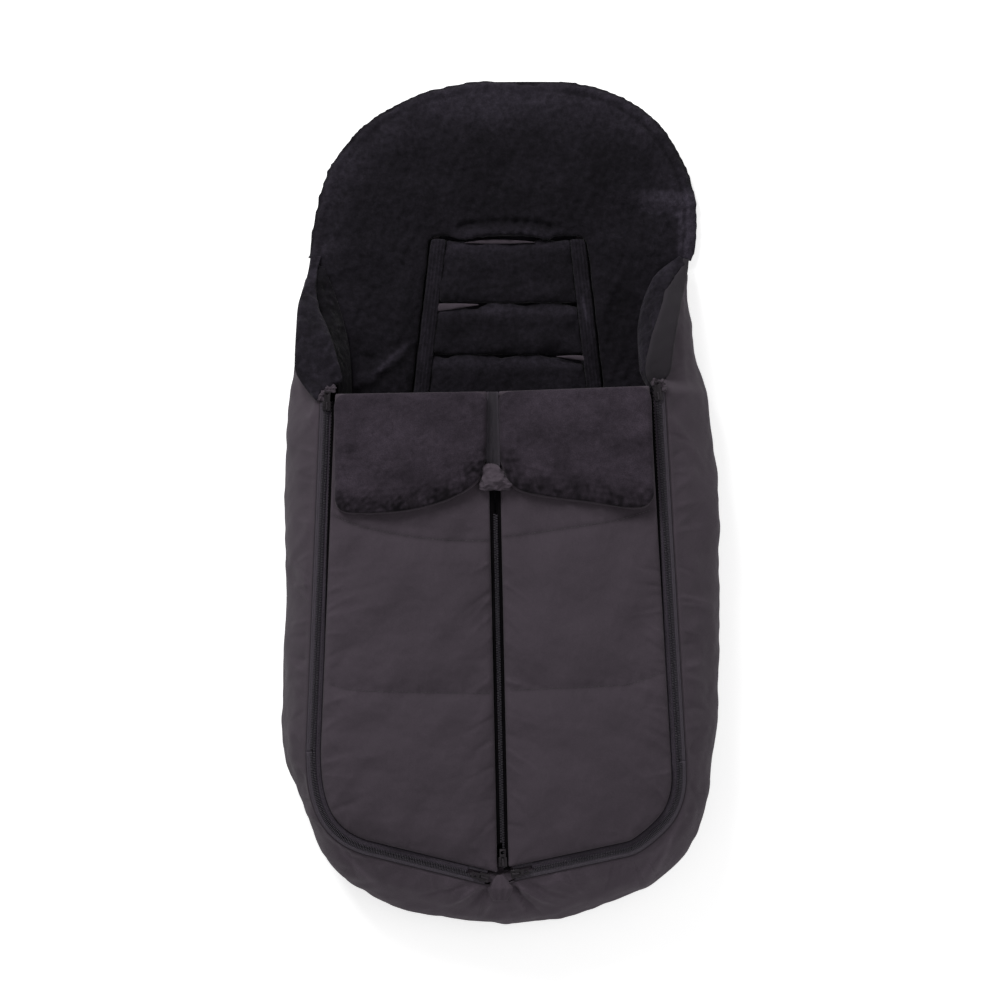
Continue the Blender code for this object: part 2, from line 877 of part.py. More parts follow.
def wing_roll(side, stations):
    """The soft roll inside a wing's top edge, thinner towards its ends."""
    depth = WALL_EDGE + WALL_LINING_CLEARANCE + WALL_LINING + ROLL_CLEARANCE + ROLL_RADIUS
    line = [wall_point(station, 1, depth) for station in stations]
    length = line_length(line)
    run = at_shares(line, [ROLL_END / length, 1 - ROLL_START / length])
    kept = [point for point in resample(line, round(length / ROLL_SPACING) * 2)
            if run[0].y > point.y > run[1].y]
    middle = (len(kept) - 1) / 2
    radii = []
    for index in range(len(kept)):
        fullness = 1 - abs(index - middle) / middle
        radii.append(ROLL_END_RADIUS + (ROLL_RADIUS - ROLL_END_RADIUS) * fullness ** DOME_POWER)
    return tube("wing_roll_" + side.name, kept, radii, FLEECE_FABRIC)


# Back


def foot_outline(stations, depth):
    """Plan points of the wall's foot at a depth behind its outer face."""
    return [station.point + station.outward * (station.bulge - station.inset - depth)
            for station in stations]


def back_outline(loop, stations, depth):
    """Outline of one layer of the back: inside the walls, then along the neck to the hood."""
    rim = inset_loop(loop, BINDING_RADIUS * 2 + GAP)
    start = max(stations[0].point.y, stations[-1].point.y) + NECK_START
    right = between(rim, 1, start, HOOD_HINGE_Y)
    left = between(rim, -1, start, HOOD_HINGE_Y)
    return foot_outline(stations, depth) + right + left[::-1]


def harness_half(level):
    """Half width between the ribbed strips at a level of Y."""
    share = (level - HARNESS_BOTTOM) / (HARNESS_TOP - HARNESS_BOTTOM)
    return HARNESS_HALF_BOTTOM + (HARNESS_HALF_TOP - HARNESS_HALF_BOTTOM) * share


def harness_quad(low, high, near, far):
    """Four corners between two levels; near and far are added to the half width on the sides."""
    left_low = HARNESS_CENTRE + near(harness_half(low))
    right_low = HARNESS_CENTRE + far(harness_half(low))
    left_high = HARNESS_CENTRE + near(harness_half(high))
    right_high = HARNESS_CENTRE + far(harness_half(high))
    return [Vector((left_low, low)), Vector((right_low, low)),
            Vector((right_high, high)), Vector((left_high, high))]


def crotch_quad(low, high, margin):
    """Four corners of the crotch window or its flap, drawn in by a margin at the sides."""
    half = CROTCH_HALF - margin
    return [Vector((CROTCH_CENTRE - half, low)), Vector((CROTCH_CENTRE + half, low)),
            Vector((CROTCH_CENTRE + half, high)), Vector((CROTCH_CENTRE - half, high))]


def back(loop, stations):
    """Outer sheet, wadding and fleece of the back, with the harness and crotch windows."""
    reach = STRIP_WIDTH + GAP * 2
    window = cutter("harness_window",
                    harness_quad(HARNESS_BOTTOM, HARNESS_TOP,
                                 lambda half: -half - reach, lambda half: half + reach),
                    -OVERRUN, LINING_TOP + OVERRUN)
    crotch = cutter("crotch_window", crotch_quad(CROTCH_BOTTOM, CROTCH_TOP, 0),
                    -OVERRUN, LINING_TOP + OVERRUN)
    inside = WALL_EDGE + WALL_LINING_CLEARANCE + WALL_LINING + GAP
    layers = (
        ("back_shell", 0, SHELL_LOW, SHELL_TOP, SHELL_FABRIC),
        ("back_wadding", inside, WADDING_LOW, WADDING_TOP, WADDING_FIBRE),
        ("back_lining", inside, LINING_LOW, LINING_TOP, FLEECE_FABRIC),
    )
    for name, depth, low, high, settings in layers:
        item = plate(name, back_outline(loop, stations, depth), low, high, settings)
        cut(item, window)
        cut(item, crotch)


def harness():
    """Ribbed strips beside the harness window and the flaps between its slots."""
    low = HARNESS_BOTTOM + GAP
    high = HARNESS_TOP - GAP
    for side in SIDES:
        if side.sign < 0:
            corners = harness_quad(low, high, lambda half: -half - STRIP_WIDTH, lambda half: -half)
        else:
            corners = harness_quad(low, high, lambda half: half, lambda half: half + STRIP_WIDTH)
        item = plate("harness_strip_" + side.name, corners, SHELL_LOW, LINING_TOP + STRIP_RISE,
                     FLEECE_FABRIC)
        round_edges(item, STRIP_RISE)
    span = HARNESS_TOP - HARNESS_BOTTOM
    for number, (start, end) in enumerate(FLAP_SHARES, 1):
        low = HARNESS_BOTTOM + span * start
        high = HARNESS_BOTTOM + span * end
        corners = harness_quad(low, high, lambda half: GAP - half, lambda half: half - GAP)
        narrowing = (HARNESS_HALF_BOTTOM - HARNESS_HALF_TOP) / span
        flap("harness_flap_%d" % number, corners, low, FLAP_THICKNESS * narrowing + GAP)
    corners = crotch_quad(CROTCH_BOTTOM + GAP, CROTCH_TOP - CROTCH_SLOT, GAP)
    flap("crotch_flap", corners, CROTCH_BOTTOM + GAP, 0)


def flap(name, corners, low, taper):
    """A padded flap hinged on its lower edge at the level of the fleece, with a drawn-in underside."""
    under = LINING_TOP - FLAP_THICKNESS
    rings = []
    for start, end in ((corners[0], corners[1]), (corners[3], corners[2])):
        draw = (end - start).normalized() * taper
        rings.append([Vector((*start, LINING_TOP)), Vector((*(start + draw), under)),
                      Vector((*(end - draw), under)), Vector((*end, LINING_TOP))])
    item = loft(name, rings, FLEECE_FABRIC, None)
    round_edges(item, FLAP_ROUNDING)
    centre = (corners[0].x + corners[1].x) / 2
    carry(joint(name + "_joint", (centre, low, LINING_TOP), (1, 0, 0)), item)


def grip_strips():
    """Grip strips on the ground under the back."""
    half = GRIP_WIDTH / 2
    for side in SIDES:
        middle = GRIP_OFFSET * side.sign
        corners = [Vector((middle - half, GRIP_LOW)), Vector((middle + half, GRIP_LOW)),
                   Vector((middle + half, GRIP_HIGH)), Vector((middle - half, GRIP_HIGH))]
        plate("grip_strip_" + side.name, corners, 0, GRIP_THICKNESS, GRIP_RUBBER)


def neck_binding(loop, stations):
    """Bound rim between the wings and the hood on both sides."""
    rim = inset_loop(loop, BINDING_RADIUS)
    level = WADDING_LOW + BINDING_RADIUS
    start = max(stations[0].point.y, stations[-1].point.y) + NECK_START
    for side in SIDES:
        run = between(rim, side.sign, start, HOOD_HINGE_Y - BINDING_END)
        line = raised(run, level)
        tube("neck_binding_" + side.name, line, [BINDING_RADIUS] * len(line), BINDING_FABRIC)


# Hood


def hood(loop):
    """Shell, wadding, fleece, bound rim and seat pocket of the hood."""
    level = HOOD_HINGE_Y + GAP
    outline = above(inset_loop(loop, BINDING_RADIUS * 2 + GAP), level)
    hinge_edge = resample([outline[-1], outline[0]], len(SIDES) * 3)
    ring = outline + hinge_edge[1:-1]
    shell = plate("hood_shell", outline, SHELL_LOW, SHELL_TOP, SHELL_FABRIC)
    wadding = ringed_pad("hood_wadding", ring, WADDING_LOW, WADDING_TOP, WADDING_FIBRE,
                         crown=HOOD_CROWN, draw=HOOD_DRAW)
    lining = ringed_pad("hood_lining", ring, LINING_LOW, LINING_TOP, FLEECE_FABRIC,
                        crown=HOOD_CROWN, lower_crown=HOOD_CROWN)
    run = above(inset_loop(loop, BINDING_RADIUS), HOOD_HINGE_Y + BINDING_END)
    line = raised(run, WADDING_LOW + BINDING_RADIUS)
    binding = tube("hood_binding", line, [BINDING_RADIUS] * len(line), BINDING_FABRIC)
    pocket = plate("seat_pocket", above(inset_loop(loop, POCKET_INSET), level + POCKET_START),
                   0, GRIP_THICKNESS, SHELL_FABRIC)
    carry(joint("hood_joint", (0, HOOD_HINGE_Y, LINING_TOP + GAP), (1, 0, 0)),
          shell, wadding, lining, binding, pocket)


# Cover


def fold_line(side):
    """Both ends of a cover half's fold, from the centre zip out to the side zip's edge."""
    start, end = places(side.fold_shares)
    centre = [point + across_centre() * COVER_CENTRE_REACH * side.sign for point in centre_line()]
    edge = offset(zip_straight(side), -COVER_SIDE_REACH, side.sign)
    return [line_meeting(start, end, *centre), line_meeting(start, end, *edge)]


def across_centre():
    """Direction across the centre zip towards +X."""
    line = centre_line()
    return -turn_right((line[1] - line[0]).normalized())


def cover_edges(side):
    """The four edges of a cover half in plan: centre, side, fold and foot."""
    fold = fold_line(side)
    centre = [point + across_centre() * COVER_CENTRE_REACH * side.sign for point in centre_line()]
    edge = offset(zip_line(side), -COVER_SIDE_REACH, side.sign)
    edge[0] = fold[1]
    edge[-1] = line_meeting(edge[-2], edge[-1], *centre)
    turn = 1 + len(zip_corner(side)) // 2
    return [fold[0], edge[-1]], edge[:turn + 1], fold, edge[turn:][::-1]


def row_shares(rows, ratio):
    """Shares down the centre edge and the side edge, level with each other above the corner."""
    inner = [row / rows for row in range(rows + 1)]
    outer = []
    for share in inner:
        if share <= COVER_EVEN_SHARE:
            outer.append(share * ratio)
        else:
            rest = (share - COVER_EVEN_SHARE) / (1 - COVER_EVEN_SHARE)
            outer.append(COVER_EVEN_SHARE * ratio + (1 - COVER_EVEN_SHARE * ratio) * rest)
    return inner, outer


def cover_grid(side, columns, rows):
    """Plan grid of a cover half."""
    centre, edge, fold, foot = cover_edges(side)
    ratio = min(line_length(centre) / line_length(edge), COVER_EVEN_LIMIT_SHARE / COVER_EVEN_SHARE)
    inner, outer = row_shares(rows, ratio)
    return patch(at_shares(centre, inner), at_shares(edge, outer),
                 resample(fold, columns), resample(foot, columns))


def cover_height(down, out, length):
    """Height of a cover half's top above the zip at shares down and out."""
    travelled = down * length
    past = min(1, max(0, (travelled - CUFF_ZONE) / CUFF_RAMP))
    full = COVER_FLAT + (COVER_CROWN - COVER_FLAT) * past
    for share in CHANNEL_SHARES:
        away = (down - share) * length / CHANNEL_WIDTH
        full -= CHANNEL_DEPTH * past * math.exp(-away * away)
    end = min(1, (1 - down) / FOOT_DOME_SHARE) ** DOME_POWER
    return COVER_EDGE + (full - COVER_EDGE) * dome(out) * end


def cover_shell(side):
    """The quilted top pad of a cover half."""
    grid = cover_grid(side, COVER_COLUMNS, COVER_ROWS)
    length = line_length(cover_edges(side)[0])
    tops = []
    for index, point in enumerate(grid):
        down = index // (COVER_COLUMNS + 1) / COVER_ROWS
        out = index % (COVER_COLUMNS + 1) / COVER_COLUMNS
        level = ZIP_HEIGHT + cover_height(down, out, length)
        tops.append(Vector((point.x, point.y, level)))
    bottoms = raised(grid, ZIP_HEIGHT - COVER_DROP)
    return grid_solid("cover_%s_shell" % side.name, COVER_COLUMNS, tops, bottoms, SHELL_FABRIC)


def cover_lining(side):
    """The fleece pad under a cover half."""
    grid = cover_grid(side, LINING_COLUMNS, LINING_ROWS)
    top = ZIP_HEIGHT - COVER_DROP - GAP
    bottoms = []
    for index, point in enumerate(grid):
        down = index // (LINING_COLUMNS + 1) / LINING_ROWS
        out = index % (LINING_COLUMNS + 1) / LINING_COLUMNS
        fullness = dome(out) * dome(down)
        depth = COVER_LINING_EDGE + (COVER_LINING_MIDDLE - COVER_LINING_EDGE) * fullness
        bottoms.append(Vector((point.x, point.y, top - depth)))
    return grid_solid("cover_%s_lining" % side.name, LINING_COLUMNS, raised(grid, top), bottoms,
                      FLEECE_FABRIC)


def cuff_grid(side):
    """Plan grid of a cuff, from its fold down to its loose edge."""
    fold = fold_line(side)
    lower = places(side.cuff_shares)
    edge = offset(zip_straight(side), -CUFF_MARGIN, side.sign)
    outer = line_meeting(*fold, *edge)
    top = [fold[0], outer]
    down = (lower[0] - top[0]).normalized() * GAP
    top = [point + down for point in top]
    return patch(resample([top[0], lower[0]], CUFF_ROWS), resample([top[1], lower[-1]], CUFF_ROWS),
                 resample(top, CUFF_COLUMNS), resample(spline(lower, CORNER_STEPS), CUFF_COLUMNS))


def cuff(side):
    """Shell and fleece of the folded-down cuff on one cover half."""
    grid = cuff_grid(side)
    low = ZIP_HEIGHT + CUFF_RISE
    middle = low + CUFF_SHELL
    shell = grid_solid("cuff_%s_shell" % side.name, CUFF_COLUMNS, raised(grid, middle),
                       raised(grid, low), SHELL_FABRIC)
    tops = []
    for index, point in enumerate(grid):
        down = index // (CUFF_COLUMNS + 1) / CUFF_ROWS
        out = index % (CUFF_COLUMNS + 1) / CUFF_COLUMNS
        fullness = dome(out) * dome(down)
        rise = CUFF_LINING_EDGE + (CUFF_LINING_CROWN - CUFF_LINING_EDGE) * fullness
        tops.append(Vector((point.x, point.y, middle + GAP + rise)))
    lining = grid_solid("cuff_%s_lining" % side.name, CUFF_COLUMNS, tops,
                        raised(grid, middle + GAP), CUFF_FLEECE)
    return shell, lining


def cuff_zip(side):
    """The stringer along a cuff's centre edge, with its coil underneath."""
    grid = cuff_grid(side)
    top = grid[0]
    low = grid[CUFF_ROWS * (CUFF_COLUMNS + 1)]
    inward = turn_right((low - top).normalized()) * side.sign
    near = inward * GAP
    far = inward * (GAP + CUFF_TAPE_WIDTH)
    coil = inward * (GAP + CUFF_TAPE_WIDTH - COIL_REACH + SLOT_HALF)
    down = (low - top).normalized()
    ends = (top + down * TAPE_THICKNESS, low)
    rings = []
    base = ZIP_HEIGHT + CUFF_RISE + TAPE_THICKNESS
    under = base - TAPE_THICKNESS
    deep = under - COIL_HEIGHT
    for end in ends:
        section = ((near, base), (far, base), (far, deep), (coil, deep), (coil, under), (near, under))
        rings.append([Vector((*(end + across), level)) for across, level in section])
    return loft("cuff_zip_" + side.name, rings, ZIP_TAPE, math.radians(30))


def zip_garage():
    """The fabric nub that covers the upper end of the centre zip."""
    outline = []
    corners = places(GARAGE_SHARES)
    for index, corner in enumerate(corners):
        outline += resample([corner, corners[(index + 1) % len(corners)]], 3)[:-1]
    low = ZIP_HEIGHT + CUFF_RISE
    high = low + GARAGE_HEIGHT / 2
    return ringed_pad("zip_garage", outline, low, high, SHELL_FABRIC, crown=GARAGE_HEIGHT / 2)


# Zip hardware


def box(work, low, high):
    """Adds a box between two corners to a bmesh."""
    corners = [Vector((low[0], low[1])), Vector((high[0], low[1])),
               Vector((high[0], high[1])), Vector((low[0], high[1]))]
    prism_mesh(work, corners, low[2], high[2])


def joined_mesh(name, works):
    """One mesh from the union of several bmesh solids."""
    items = []
    for number, work in enumerate(works):
        items.append(add_solid("%s_%d" % (name, number), work, SLIDER_METAL))
    for tool in items[1:]:
        step = items[0].modifiers.new("union", "BOOLEAN")
        step.operation = "UNION"
        step.solver = "EXACT"
        step.object = tool
    bpy.context.view_layer.update()
    evaluated = items[0].evaluated_get(bpy.context.evaluated_depsgraph_get())
    mesh = bpy.data.meshes.new_from_object(evaluated)
    mesh.name = name
    for item in items:
        bpy.data.objects.remove(item, do_unlink=True)
    return mesh


def slider_mesh():
    """Slider body: roof with cheeks, neck through the slot, lower plate and the bail on top."""
    half = SLIDER_LENGTH / 2
    roof_top = SLIDER_ROOF_LOW + SLIDER_ROOF
    body = bmesh.new()
    inner = SLIDER_HALF - SLIDER_CHEEK
    profile = [(-SLIDER_HALF, SLIDER_SKIRT), (-inner, SLIDER_SKIRT), (-inner, SLIDER_ROOF_LOW),
               (inner, SLIDER_ROOF_LOW), (inner, SLIDER_SKIRT), (SLIDER_HALF, SLIDER_SKIRT),
               (SLIDER_HALF, roof_top), (-SLIDER_HALF, roof_top)]
    add_loft(body, [[Vector((x, y, z)) for x, z in profile] for y in (-half, half)])
    lower = bmesh.new()
    box(lower, (-SLIDER_PLATE_HALF, -half, -GAP - SLIDER_PLATE), (SLIDER_PLATE_HALF, half, -GAP))
    neck = bmesh.new()
    neck_end = half - SLIDER_OVERLAP
    box(neck, (-SLIDER_NECK_HALF, neck_end - SLIDER_NECK_LENGTH, -GAP - SLIDER_OVERLAP),
        (SLIDER_NECK_HALF, neck_end, SLIDER_ROOF_LOW + SLIDER_OVERLAP))
    reach = BAIL_LENGTH / 2
    opening = reach - BAIL_LEG
    top = roof_top + BAIL_RISE
    arch = [(-reach, roof_top - SLIDER_OVERLAP), (-opening, roof_top - SLIDER_OVERLAP),
            (-opening, top - BAIL_BAR), (opening, top - BAIL_BAR),
            (opening, roof_top - SLIDER_OVERLAP), (reach, roof_top - SLIDER_OVERLAP),
            (reach, top), (-reach, top)]
    bail = bmesh.new()
    add_loft(bail, [[Vector((x, y, z)) for y, z in arch] for x in (-BAIL_HALF, BAIL_HALF)])
    return joined_mesh("slider_body", [body, lower, neck, bail])


def pull_mesh(name, length):
    """Pull tab lying along +Y with its bar on the X axis, windowed for the bail."""
    half = PULL_WIDTH / 2
    thick = PULL_THICKNESS / 2
    bar = PULL_BAR / 2
    tab = bmesh.new()
    box(tab, (-half, -bar, -thick), (half, length, thick))
    item = add_solid(name, tab, SLIDER_METAL)
    window = bmesh.new()
    box(window, (-PULL_WINDOW_HALF, bar, -thick - OVERRUN),
        (PULL_WINDOW_HALF, PULL_WINDOW_END, thick + OVERRUN))
    tool = add_solid(name + "_window", window, SLIDER_METAL)
    hole = bmesh.new()
    turn = Matrix.Translation(Vector((0, length - PULL_HOLE_MARGIN, 0)))
    bmesh.ops.create_cone(hole, cap_ends=True, segments=12, radius1=PULL_HOLE_RADIUS,
                          radius2=PULL_HOLE_RADIUS, depth=PULL_THICKNESS + OVERRUN * 2, matrix=turn)
    drill = add_solid(name + "_hole", hole, SLIDER_METAL)
    cut(item, tool)
    cut(item, drill)
    bpy.context.view_layer.update()
    evaluated = item.evaluated_get(bpy.context.evaluated_depsgraph_get())
    mesh = bpy.data.meshes.new_from_object(evaluated)
    for old in (item, tool, drill):
        bpy.data.objects.remove(old, do_unlink=True)
    return mesh


def add_slider(name, body, tab, spot, heading, parent=None):
    """A slider with its pull; heading is the way the pull lies, spot the middle of the slider."""
    place_at = Vector((spot.x, spot.y, ZIP_HEIGHT))
    angle = math.atan2(-heading.x, heading.y)
    turn = Matrix.Translation(place_at) @ Matrix.Rotation(angle, 4, "Z")
    slide = joint(name + "_joint", place_at, (heading.x, heading.y, 0), parent)
    slider = add_object(name, body.copy(), SLIDER_METAL)
    slider.matrix_world = turn
    bpy.context.view_layer.update()
    carry(slide, slider)
    axis = turn @ Vector((0, 0, PULL_AXIS_RISE))
    across = turn.to_3x3() @ Vector((1, 0, 0))
    pull_name = name.replace("slider", "pull")
    swing = joint(pull_name + "_joint", axis, across, slide)
    pull = add_object(pull_name, tab.copy(), SLIDER_METAL)
    pull.matrix_world = Matrix.Translation(axis) @ Matrix.Rotation(angle, 4, "Z")
    bpy.context.view_layer.update()
    carry(swing, pull)


def cover(side, body, long_tab, short_tab):
    """One cover half with its zips, its cuff and the sliders that ride on it."""
    line = hinge_line(side)
    direction = (line[1] - line[0]).normalized() * side.sign
    middle = (line[0] + line[1]) / 2
    axis = (-direction.x, -direction.y, 0)
    hinge = joint("cover_%s_joint" % side.name, (middle.x, middle.y, ZIP_HEIGHT), axis)
    shell = cover_shell(side)
    lining = cover_lining(side)
    straight = spaced(zip_straight(side), WALL_SPACING * 2)
    outer = stringer("side_zip_outer_" + side.name, straight, SLOT_HALF, TAPE_REACH, side.sign)
    foot = zip_foot(side)
    run = (foot[0] - foot[1]).normalized()
    end = foot[1] + run * (FOOT_SLIDER_REST + SLIDER_ROOM)
    inner_line = [*straight[:-1], *zip_corner(side), end]
    inner = stringer("side_zip_inner_" + side.name, inner_line, SLOT_HALF, TAPE_REACH, side.sign, -1)
    centre = centre_line()
    down = (centre[1] - centre[0]).normalized()
    start = centre[0] + down * SIDE_SLIDER_REST
    stop = centre[1] if side.sign > 0 else centre[1] - down * (CENTRE_SLIDER_REST + SLIDER_ROOM)
    centre_half = stringer("centre_zip_" + side.name, [start, stop], SLOT_HALF, CENTRE_TAPE_REACH,
                           side.sign)
    carry(hinge, shell, lining, outer, inner, centre_half)
    fold = fold_line(side)
    fold_middle = (fold[0] + fold[1]) / 2
    fold_axis = (fold[1] - fold[0]) * -side.sign
    fold_joint = joint("cuff_%s_joint" % side.name,
                       (fold_middle.x, fold_middle.y, ZIP_HEIGHT + CUFF_AXIS_RISE),
                       (fold_axis.x, fold_axis.y, 0), hinge)
    carry(fold_joint, *cuff(side), cuff_zip(side))
    if side.sign < 0:
        carry(fold_joint, zip_garage())
    top, low = zip_straight(side)
    up = (top - low).normalized()
    add_slider("side_slider_" + side.name, body, long_tab, top - up * SIDE_SLIDER_REST, up, hinge)
    if side.sign > 0:
        add_slider("centre_slider", body, short_tab, centre[1] - down * CENTRE_SLIDER_REST, -down,
                   hinge)


def foot_zip(side, body, short_tab):
    """The fixed stringer round the foot corner, with the slider parked at its foot end."""
    corner = zip_corner(side)
    heading = (corner[0] - zip_straight(side)[0]).normalized()
    line = [corner[0] + heading * GAP, *corner[1:], zip_foot(side)[1]]
    stringer("foot_zip_tape_" + side.name, line, SLOT_HALF, TAPE_REACH, side.sign)
    foot = zip_foot(side)
    run = (foot[0] - foot[1]).normalized()
    add_slider("foot_slider_" + side.name, body, short_tab, foot[1] + run * FOOT_SLIDER_REST, run)


def build():
    """Builds the whole footmuff."""
    clear_scene()
    loop = outline_loop()
    wings = {side.name: wing_stations(loop, side) for side in SIDES}
    straights = {side.name: straight_stations(loop, side) for side in SIDES}
    foot = foot_stations(loop)
    for side in SIDES:
        wall("side_wall_" + side.name, wings[side.name] + straights[side.name], SHELL_FABRIC,
             FLEECE_FABRIC)
        wing_facing(side, wings[side.name])
        wing_roll(side, wings[side.name])
    wall("foot_wall", foot, SHELL_FABRIC, FLEECE_FABRIC)
    right = wings["right"] + straights["right"]
    ring = wings["left"] + straights["left"] + foot[1:-1] + right[::-1]
    back(loop, ring)
    harness()
    grip_strips()
    neck_binding(loop, ring)
    hood(loop)
    body = slider_mesh()
    long_tab = pull_mesh("long_pull", PULL_LONG)
    short_tab = pull_mesh("short_pull", PULL_SHORT)
    for side in SIDES:
        cover(side, body, long_tab, short_tab)
        foot_zip(side, body, short_tab)


build()
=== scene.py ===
"""Dresses the stroller footmuff as it lies flat on a white floor, seen from straight above.

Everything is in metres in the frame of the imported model, with the head end towards +Y.
"""

import enum
import functools
import logging
import math
from dataclasses import dataclass, field

import bmesh
import bpy
import numpy as np
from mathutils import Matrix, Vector
from mathutils.bvhtree import BVHTree


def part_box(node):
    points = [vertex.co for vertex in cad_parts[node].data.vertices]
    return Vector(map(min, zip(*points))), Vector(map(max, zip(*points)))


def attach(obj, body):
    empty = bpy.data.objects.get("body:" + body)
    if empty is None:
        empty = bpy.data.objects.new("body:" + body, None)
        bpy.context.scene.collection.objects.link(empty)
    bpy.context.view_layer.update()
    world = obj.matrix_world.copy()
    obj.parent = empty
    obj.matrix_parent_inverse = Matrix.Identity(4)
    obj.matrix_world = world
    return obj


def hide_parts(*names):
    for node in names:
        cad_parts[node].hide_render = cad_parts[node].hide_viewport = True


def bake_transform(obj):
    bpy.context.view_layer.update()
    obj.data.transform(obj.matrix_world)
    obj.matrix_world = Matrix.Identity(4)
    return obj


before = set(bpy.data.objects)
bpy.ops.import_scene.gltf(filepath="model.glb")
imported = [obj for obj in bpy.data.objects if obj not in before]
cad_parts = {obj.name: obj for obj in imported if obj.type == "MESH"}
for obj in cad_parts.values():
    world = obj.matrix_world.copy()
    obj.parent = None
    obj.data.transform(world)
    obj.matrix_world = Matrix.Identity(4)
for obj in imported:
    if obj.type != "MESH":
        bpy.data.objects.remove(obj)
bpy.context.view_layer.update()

LOG = logging.getLogger("footmuff")
Array = np.ndarray
Colour = tuple[float, float, float]

HALF_LENGTH = 0.485
HALF_WIDTH = 0.252
ZIP_HEIGHT = 0.118
CLOTH = 0.0006
LEAST_STEP = 0.0003
TINY = 1e-12


class Side(enum.Enum):
    """The two sides of the footmuff, with the sign of their X."""

    LEFT = -1
    RIGHT = 1

    @property
    def label(self) -> str:
        """The side's name in piece names."""
        return self.name.lower()


class Fade(enum.Enum):
    """How a crease dies out along its length."""

    BOTH_ENDS = "both ends"
    FAR_END = "far end"


# Plan lines


def plan(shares: tuple) -> Array:
    """Points seen from above at shares of the half width and the half length."""
    return np.array(shares, dtype=float) * (HALF_WIDTH, HALF_LENGTH)


def between(start: Array, end: Array, share: float) -> Array:
    """The place at a share of the way from start to end."""
    return start + (end - start) * share


def unit(vector: Array) -> Array:
    """A vector drawn to a length of one."""
    return vector / np.linalg.norm(vector)


def right_of(ways: Array) -> Array:
    """Directions to the right of one or more ways of travel."""
    return np.stack([ways[..., 1], -ways[..., 0]], axis=-1)


def smooth_curve(points: Array, steps: int) -> Array:
    """An open centripetal curve through points.

    Args:
        points: The points to pass, one a row.
        steps: The number of steps between each two.

    Returns:
        The curve's points, one a row.
    """
    ends = np.vstack([2 * points[0] - points[1], points, 2 * points[-1] - points[-2]])
    curve = []
    for before, start, end, after in zip(ends, ends[1:], ends[2:], ends[3:]):
        second, middle_knot, last_knot = (
            math.sqrt(max(np.linalg.norm(far - near), LEAST_STEP))
            for near, far in ((before, start), (start, end), (end, after)))
        third = second + middle_knot
        fourth = third + last_knot
        for step in range(steps):
            now = second + (third - second) * step / steps
            low = between(before, start, now / second)
            middle = between(start, end, (now - second) / (third - second))
            high = between(end, after, (now - third) / (fourth - third))
            low = between(low, middle, now / third)
            high = between(middle, high, (now - second) / (fourth - second))
            curve.append(between(low, high, (now - second) / (third - second)))
    return np.vstack([curve, points[-1]])


@dataclass(frozen=True)
class PlanLine:
    """A line seen from straight above."""

    points: Array

    @property
    def travelled(self) -> Array:
        """Distance travelled at each point."""
        steps = np.linalg.norm(np.diff(self.points, axis=0), axis=1)
        return np.concatenate([[0], np.cumsum(steps)])

    @property
    def length(self) -> float:
        """Length of the whole line."""
        return float(self.travelled[-1])

    def at(self, distances: Array) -> Array:
        """The points at distances along the line."""
        return np.column_stack([np.interp(distances, self.travelled, self.points[:, axis])
                                for axis in (0, 1)])

    def part(self, start: float, end: float, count: int) -> "PlanLine":
        """A stretch of the line between two distances along it, in a number of points."""
        return PlanLine(self.at(np.linspace(start, end, count)))

    def split(self, count: int) -> Array:
        """The points that split the line into a number of equal steps."""
        return self.at(np.linspace(0, self.length, count + 1))

    def headings(self) -> Array:
        """Unit directions of travel at each point."""
        ways = np.gradient(self.points, axis=0)
        return ways / np.maximum(np.linalg.norm(ways, axis=1, keepdims=True), TINY)

    def shifted(self, distance: float) -> "PlanLine":
        """The line moved to the right of its way of travel."""
        return PlanLine(self.points + right_of(self.headings()) * distance)

    def nearest(self, spots: Array) -> tuple[Array, Array]:
        """How far along the line and how far from it some spots lie.

        Args:
            spots: Plan points, one a row.

        Returns:
            The distance along the line to the nearest place, and the distance off it.
        """
        along = np.zeros(len(spots))
        away = np.full(len(spots), np.inf)
        for start, end, passed in zip(self.points, self.points[1:], self.travelled):
            step = end - start
            size = float(np.linalg.norm(step))
            if size < TINY:
                continue
            share = np.clip((spots - start) @ step / size**2, 0, 1)
            gap = np.linalg.norm(spots - start - share[:, None] * step, axis=1)
            closer = gap < away
            along[closer] = passed + share[closer] * size
            away[closer] = gap[closer]
        return along, away


def crossing(first: Array, second: Array) -> Array:
    """Where the lines through two pairs of points meet."""
    way = first[1] - first[0]
    other = second[1] - second[0]
    share = np.linalg.solve(np.column_stack([way, -other]), second[0] - first[0])[0]
    return first[0] + way * share


@dataclass(frozen=True)
class ZipPath:
    """Line of one perimeter zip from the head end round the corner to the foot."""

    side: Side
    shares: tuple
    corner_steps: int = 3

    @property
    def straight(self) -> Array:
        """Both ends of the straight run along the side."""
        return plan(self.shares[:2])

    @property
    def foot(self) -> Array:
        """Both ends of the run along the foot."""
        return plan(self.shares[-2:])

    @property
    def corner(self) -> Array:
        """Points round the corner."""
        points = plan(self.shares)
        ends = [near + (far - near) * (np.linalg.norm(inner - near) / np.linalg.norm(far - near))
                for far, near, inner in (points[:3], points[:-4:-1])]
        curve = smooth_curve(np.vstack([ends[0], points[1:-1], ends[1]]), self.corner_steps)
        return curve[self.corner_steps:-self.corner_steps]

    @property
    def whole(self) -> PlanLine:
        """The whole line of the zip."""
        return PlanLine(np.vstack([self.straight[0], self.corner, self.foot[1]]))

    def aside(self, line: PlanLine, distance: float) -> PlanLine:
        """A line moved outwards from the middle of the footmuff."""
        return line.shifted(distance * -self.side.value)


